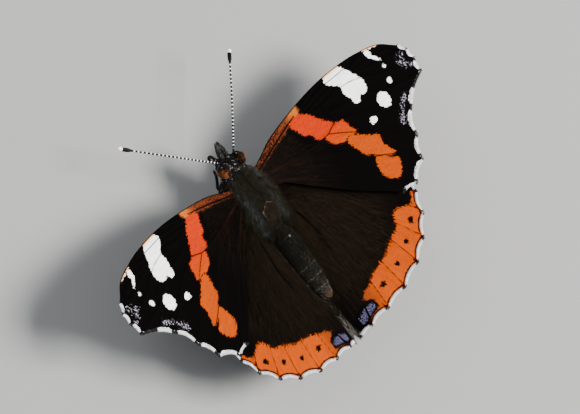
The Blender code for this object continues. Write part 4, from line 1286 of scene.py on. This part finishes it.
def coat_finish():
    """Hair with the skin's own markings and its painted sheen."""
    make = Finish("body_coat")
    return make.finish(hair_tone(make, body_colour(make), WHITE_HAIR), 0.55, specular=0.04)


def rim_finish():
    """Nearly black hair."""
    make = Finish("eye_rim_coat")
    hair = make.mix(make.value("shade"), (0.0016, 0.0012, 0.0010), (0.0085, 0.0070, 0.0060))
    return make.finish(hair_tone(make, hair, WHITE_HAIR), 0.6, specular=0.02)


def body_roots(draw, count, y_range, turn_range):
    """Random places on the skin, as thick on the ground everywhere: y is drawn in proportion to the girth."""
    y = np.linspace(*y_range, 200)
    share = np.cumsum(np.interp(y, SKIN_CURVE[:, 0], SKIN_CURVE[:, 1]))
    return np.interp(draw.uniform(share[0], share[-1], count), share, y), draw.uniform(*turn_range, count)


def body_paths(y, turn, lengths, lift, sway):
    """Hair that hugs the skin: it runs back along the body and rises with a power of its reach."""
    step = 0.02
    run = np.linalg.norm(body_point(y + step, turn) - body_point(y - step, turn), axis=-1) / (2.0 * step)
    reach = BLADE_STATIONS[None]
    at_y = y[:, None] + reach * (lengths / run)[:, None]
    at_turn = turn[:, None] + reach * sway[:, None]
    height = -ROOT_DEPTH + reach**0.6 * (lift * lengths)[:, None] + ROOT_DEPTH * reach
    return body_point(at_y, at_turn, height)


def straight_paths(roots, lean, lengths):
    """Stations of straight hairs from their roots, their directions and their lengths."""
    return roots[:, None] + BLADE_STATIONS[None, :, None] * (lengths[:, None] * lean)[:, None]


def hair_values(pale, shade):
    """What a hair's points carry: how pale its outer half is, its shade, and the reach from root to tip."""
    reach = np.append(np.repeat(BLADE_STATIONS[:-1], 3), 1.0)
    outer_half = np.clip((reach - 0.3) / 0.4, 0.0, 1.0)
    every = np.ones(len(shade))
    return {
        "pale": np.outer(pale * every, outer_half),
        "shade": np.outer(shade, np.ones(len(reach))),
        "reach": np.outer(every, reach),
    }


def body_unwrap(turn, along):
    """A place on the unwrap from the turn round a body part and the share of the way along it."""
    return np.stack([turn / math.tau, along], axis=1)


def add_coat(name, material, paths, widths, pale, draw, unwrap_place, sides=((1.0, ""),)):
    """Join hairs into one piece, or a left and a right one, each blade turned flat to the body under it."""
    values = hair_values(pale, draw.uniform(0.0, 1.0, len(paths)))
    for side, word in sides:
        hairs = paths * (side, 1.0, 1.0)
        along = unit(hairs[:, -1] - hairs[:, 0])
        across = unit(np.cross(along, unit(hairs[:, 0] * (1.0, 0.0, 1.0))))
        add_blades(
            name + word, material, hairs, across, np.cross(across, along),
            widths[:, None] * BLADE_TAPER, HAIR_THICK, values, unwrap_place,
        )


def white_specks(draw, places, count):
    """How white each hair is: hairs near a few random places are, so that they show as small specks."""
    if count == 0:
        return np.zeros(len(places))
    centres = places[draw.choice(len(places), count, replace=False)]
    nearest = np.linalg.norm(places[:, None] - centres[None], axis=-1).min(axis=1)
    return (nearest < SPECK_RADIUS) * draw.uniform(0.6, 1.0, len(places))


coat_material = coat_finish()
for name, count, y_range, turn_range, length, width, lift, white, seed in COATS:
    draw = np.random.default_rng(seed)
    y, turn = body_roots(draw, count, y_range, turn_range)
    lengths = length * draw.uniform(0.65, 1.3, count)
    paths = body_paths(y, turn, lengths, lift * draw.uniform(0.4, 1.6, count), draw.normal(0.0, 0.06, count))
    pale = white_specks(draw, paths[:, 0], white)
    unwrap_place = body_unwrap(turn, (y - BODY_FRONT) / BODY_LENGTH)
    add_coat(name, coat_material, paths, width * draw.uniform(0.7, 1.3, count), pale, draw, unwrap_place)

# Bristles of the palps, which point forwards and up and part round the tongue
draw = np.random.default_rng(31)
t = draw.uniform(0.08, 0.98, PALP_HAIRS)
turn = draw.uniform(0.0, math.tau, PALP_HAIRS)
station = (t * (len(palp_curve) - 1)).astype(int)
across, raised = (axis[station] for axis in frame_along(palp_curve))
outward = np.cos(turn)[:, None] * across + np.sin(turn)[:, None] * raised
root = palp_curve[station] + (palp_radii[station] - ROOT_DEPTH)[:, None] * outward
along = unit(np.gradient(palp_curve, axis=0))[station]
lean = unit(along + draw.uniform(0.05, 0.28, PALP_HAIRS)[:, None] * outward)
lengths = draw.uniform(0.25, 0.50, PALP_HAIRS) * (1.0 - 0.45 * t)
pale = 0.35 * white_specks(draw, root, 26) + 0.12 * (draw.uniform(0.0, 1.0, PALP_HAIRS) < 0.3)
widths = 0.040 * draw.uniform(0.7, 1.3, PALP_HAIRS)
paths = straight_paths(root, lean, lengths)
add_coat("palp_bristles_", coat_material, paths, widths, pale, draw, body_unwrap(turn, t), SIDES)

# Dark hair with white specks round each eye, which leans over the edge of its dome
draw = np.random.default_rng(32)
turn = draw.uniform(0.0, math.tau, RIM_HAIRS)
climb = draw.uniform(-0.15, 0.10 + 0.36 * np.maximum(np.sin(turn - 0.2), 0.0))
outward = np.stack([np.sin(climb), np.cos(climb) * np.cos(turn), np.cos(climb) * np.sin(turn)], axis=1)
along = np.stack([np.cos(climb), -np.sin(climb) * np.cos(turn), -np.sin(climb) * np.sin(turn)], axis=1)
size = np.array((EYE_BULGE, *EYE_RADII))
root = (EYE_BASE_X, EYE_Y, EYE_Z) + outward * size - ROOT_DEPTH * outward
lengths = draw.uniform(0.18, 0.36, RIM_HAIRS)
paths = straight_paths(root, unit(along * size + 0.22 * outward), lengths)
paths = paths - 0.02 * BLADE_STATIONS[None, :, None] ** 2 * outward[:, None]
widths = 0.05 * draw.uniform(0.7, 1.3, RIM_HAIRS)
pale = white_specks(draw, root, 16)
add_coat("eye_rim_", rim_finish(), paths, widths, pale, draw, body_unwrap(turn, 0.5 + climb), SIDES)

# Wing hair
# Long soft hairs over the base of the wings, and a fringe of them along the hindwing's inner edge,
# which closes the gap beside the abdomen. They lie along the wing, away from its root.
WING_HAIR_HEIGHT = 0.07
WING_HAIR_WIDTH = 0.036
WING_HAIR_THICK = 0.45
HINDWING_HAIR_CENTRE = (1.0, -4.5)
FOREWING_HAIR_CENTRE = (-2.0, -1.0)
CREASE_CLEARANCE = 0.16
BAND_CLEARANCE = 0.2
PALE_WING_HAIR = (0.23, 0.21, 0.19)
EDGE_HAIRS = 3600
SHOULDER_HAIRS = 3400
SHOULDER_HEIGHT = 0.30


def hair_finish(name, dark, light):
    """Brown hair, between a dark and a light shade."""
    make = Finish(name)
    hair = make.mix(make.value("shade"), dark, light)
    return make.finish(hair_tone(make, hair, PALE_WING_HAIR), 0.6, specular=0.04)


def grid_roots(draw, wing, count, s_range, t_range, crowd):
    """Random places on a wing's grid between two shares of its length and width, crowded towards the root."""
    s = s_range[0] + (s_range[1] - s_range[0]) * draw.uniform(0.0, 1.0, count) ** crowd
    t = draw.uniform(*t_range, count)
    row, column = s * (wing.rows - 1.001), t * (wing.columns - 1.001)
    i, j = row.astype(int), column.astype(int)
    a, b = (row - i)[:, None], (column - j)[:, None]
    near = (1 - b) * wing.flat[i, j] + b * wing.flat[i, j + 1]
    far = (1 - b) * wing.flat[i + 1, j] + b * wing.flat[i + 1, j + 1]
    return (1 - a) * near + a * far


def away_from(centre, roots, draw, sway):
    """Unit directions away from a point in the wing's plane, turned a little at random."""
    lean = unit(roots - np.array(centre))
    turned = np.stack([-lean[:, 1], lean[:, 0]], axis=1)
    return unit(lean + turned * draw.normal(0.0, sway, len(roots))[:, None])


def wing_hair(name, wing, material, draw, roots, lean, lengths, rise, width=WING_HAIR_WIDTH, pale=0.0):
    """Hairs over a wing, left and right, each a blade that follows the wing's face and rises a little."""
    reach = BLADE_STATIONS[None]
    flat = roots[:, None] + (reach * lengths[:, None])[..., None] * lean[:, None]
    sink = pleat(distance_to_lines(flat, wing.lines))
    height = WING_HAIR_HEIGHT + sink - ROOT_DEPTH + reach * (ROOT_DEPTH + rise[:, None] * lengths[:, None])
    widths = width * draw.uniform(0.7, 1.3, len(roots))[:, None] * BLADE_TAPER[None]
    values = hair_values(pale, draw.uniform(0.0, 1.0, len(roots)))
    for side, word in SIDES:
        paths = wing_place(wing, flat, height, side)
        along = unit(paths[:, -1] - paths[:, 0])
        across = unit(np.cross(along, (-side * WING_SIN, 0.0, WING_COS)))
        add_blades(
            f"{name}_{word}", material, paths, across, np.cross(across, along), widths,
            WING_HAIR_THICK, values, (roots - roots.min(axis=0)) / UNWRAP_SPAN,
        )


disc_hair = hair_finish("hindwing_disc_hair", (0.0028, 0.0016, 0.0009), (0.0140, 0.0090, 0.0044))
draw = np.random.default_rng(41)
roots = grid_roots(draw, hindwing, 11000, (0.02, 0.80), (0.30, 0.99), 1.0)
keep = (roots[:, 1] < 15.0 - 0.22 * np.maximum(roots[:, 0] - 4.0, 0.0) ** 1.3) & (roots[:, 0] < 11.0)
tips = roots + 2.0 * away_from(HINDWING_HAIR_CENTRE, roots, draw, 0.0)
for reach in (0.0, 0.5, 1.0):
    from_crease = distance_to_lines(roots + reach * (tips - roots), soft_lines(HINDWING_SHADED_CREASE))
    keep &= from_crease > CREASE_CLEARANCE
roots = roots[keep]
lengths = draw.uniform(1.4, 3.0, len(roots)) * np.clip(1.3 - roots[:, 1] / 22.0, 0.5, 1.0)
lean = away_from(HINDWING_HAIR_CENTRE, roots, draw, 0.05)
wing_hair(
    "hindwing_hair", hindwing, disc_hair, draw, roots, lean, lengths, draw.uniform(0.02, 0.08, len(roots)),
)

base_hair = hair_finish("forewing_base_hair", (0.0018, 0.0011, 0.0009), (0.0070, 0.0036, 0.0024))
draw = np.random.default_rng(42)
roots = grid_roots(draw, forewing, 3600, (0.0, 0.34), (0.14, 0.99), 1.3)
lengths = draw.uniform(0.6, 1.8, len(roots)) * np.clip(1.25 - roots[:, 0] / 14.0, 0.2, 1.0)
tips = roots + (lengths + 0.3)[:, None] * away_from(FOREWING_HAIR_CENTRE, roots, draw, 0.0)
off_band = union(*(blob(part, tips) for part in FOREWING_BAND)) > BAND_CLEARANCE
keep = off_band & (tips[:, 0] < 9.4)
roots, lengths = roots[keep], lengths[keep]
lean = away_from(FOREWING_HAIR_CENTRE, roots, draw, 0.06)
wing_hair(
    "forewing_hair", forewing, base_hair, draw, roots, lean, lengths, draw.uniform(0.02, 0.08, len(roots)),
)

edge_hair = hair_finish("inner_edge_hair", (0.0030, 0.0023, 0.0013), (0.0150, 0.0115, 0.0062))
draw = np.random.default_rng(43)
roots = evenly(hindwing.flat[12:, -1], EDGE_HAIRS)
roots = roots + draw.uniform(0.0, 0.5, EDGE_HAIRS)[:, None] * (1.0, 0.0)
lean = unit(np.stack([-draw.uniform(0.15, 0.6, EDGE_HAIRS), draw.uniform(0.6, 1.0, EDGE_HAIRS)], axis=1))
to_corner = np.clip((roots[:, 1] - 19.0) / 2.0, 0.0, 1.0)
lengths = draw.uniform(0.9, 1.7, EDGE_HAIRS) * (1.0 - 0.6 * to_corner)
# More of the hairs are pale towards the corner
pale = draw.uniform(0.0, 1.0, EDGE_HAIRS) < np.interp(roots[:, 1], (16.5, 19.0), (0.03, 0.38))
wing_hair(
    "inner_edge_hair", hindwing, edge_hair, draw, roots, lean, lengths,
    draw.uniform(-0.25, 0.12, EDGE_HAIRS), 0.040, pale,
)

# Hair from the thorax's shoulders, which streams out and back, bends and comes to rest on the wings' roots
draw = np.random.default_rng(44)
y, turn = draw.uniform(-4.8, 3.2, SHOULDER_HAIRS), draw.uniform(0.35, 1.10, SHOULDER_HAIRS)
lengths = draw.uniform(1.1, 2.6, SHOULDER_HAIRS) * np.clip((y + 5.4) / 1.8, 0.4, 1.0)
heading = unit(np.stack([
    draw.uniform(0.40, 1.0, SHOULDER_HAIRS),
    0.45 + 0.14 * (y + 4.8) + draw.normal(0.0, 0.12, SHOULDER_HAIRS),
    0.25 * np.sin(turn),
], axis=1))
paths = straight_paths(body_point(y, turn, -ROOT_DEPTH), heading, lengths)
u = (paths[..., 0] - HINGE_X) / WING_COS
levels = [wing_level(wing, u, paths[..., 1] - wing.hinge[0]) for wing in (forewing, hindwing)]
on_forewing = paths[..., 1] - forewing.hinge[0] < 1.1 + 0.9 * np.maximum(u, 0.0)
rest = np.minimum(paths[..., 2], np.where(on_forewing, *levels) + SHOULDER_HEIGHT)
bend = BLADE_STATIONS**1.5
paths[..., 2] = (1.0 - bend) * paths[..., 2] + bend * rest
widths = 0.038 * draw.uniform(0.7, 1.3, SHOULDER_HAIRS)
unwrap_place = body_unwrap(turn, (y - BODY_FRONT) / BODY_LENGTH)
add_coat("shoulder_hair_", coat_material, paths, widths, 0.0, draw, unwrap_place, SIDES)

# Studio
# A plain light grey floor under the model's feet, lit by a soft key light from behind on the right, a
# broad fill from the front left and a faint even surround.
FLOOR_HALF = 1.5
make = Finish("studio_floor")
floor_tone = make.mix(make.noise(40.0), (0.235, 0.240, 0.240), (0.250, 0.252, 0.250))
floor_mesh = bpy.data.meshes.new("floor")
floor_corners = [(x * FLOOR_HALF, y * FLOOR_HALF, 0.0) for x, y in ((-1, -1), (1, -1), (1, 1), (-1, 1))]
floor_mesh.from_pydata(floor_corners, [], [(0, 1, 2, 3)])
floor_mesh.materials.append(make.finish(floor_tone, 0.9, specular=0.1))
floor = bpy.data.objects.new("floor", floor_mesh)
bpy.context.scene.collection.objects.link(floor)

# The camera stands where the photographer did, 550 mm away, above the animal's left side.
# Its axes are the picture's right, down and forward directions in the model's frame.
CAMERA_PLACE = (0.339198, -0.057457, 0.435039)
CAMERA_RIGHT = (-0.56867941, 0.62131112, 0.53905122)
CAMERA_DOWN = (0.53938833, 0.77643845, -0.32588888)
CAMERA_FORWARD = (-0.62101848, 0.10543164, -0.77667253)
camera_data = bpy.data.cameras.new("camera")
camera_data.sensor_width = 36.0
camera_data.lens = 264.1
camera_data.clip_start = 0.05
camera_data.clip_end = 20.0
camera = bpy.data.objects.new("camera", camera_data)
turned = Matrix((CAMERA_RIGHT, [-k for k in CAMERA_DOWN], [-k for k in CAMERA_FORWARD])).transposed()
camera.matrix_world = Matrix.Translation(CAMERA_PLACE) @ turned.to_4x4()
bpy.context.scene.collection.objects.link(camera)
bpy.context.scene.camera = camera


def soft_light(name, position, size, power, colour):
    """A square lamp that faces the model."""
    data = bpy.data.lights.new(name, "AREA")
    data.size = size
    data.energy = power
    data.color = colour
    lamp = bpy.data.objects.new(name, data)
    lamp.location = position
    lamp.rotation_euler = (-Vector(position)).to_track_quat("-Z", "Y").to_euler()
    bpy.context.scene.collection.objects.link(lamp)


soft_light("key", (-0.33, 0.33, 0.62), 0.34, 21.0, (1.0, 0.97, 0.93))
soft_light("fill", (0.45, -0.55, 0.45), 0.60, 6.0, (0.94, 0.97, 1.0))
world = bpy.data.worlds.new("studio")
world.use_nodes = True
background = world.node_tree.nodes["Background"]
background.inputs["Color"].default_value = (0.93, 0.95, 1.0, 1.0)
background.inputs["Strength"].default_value = 0.50
bpy.context.scene.world = world
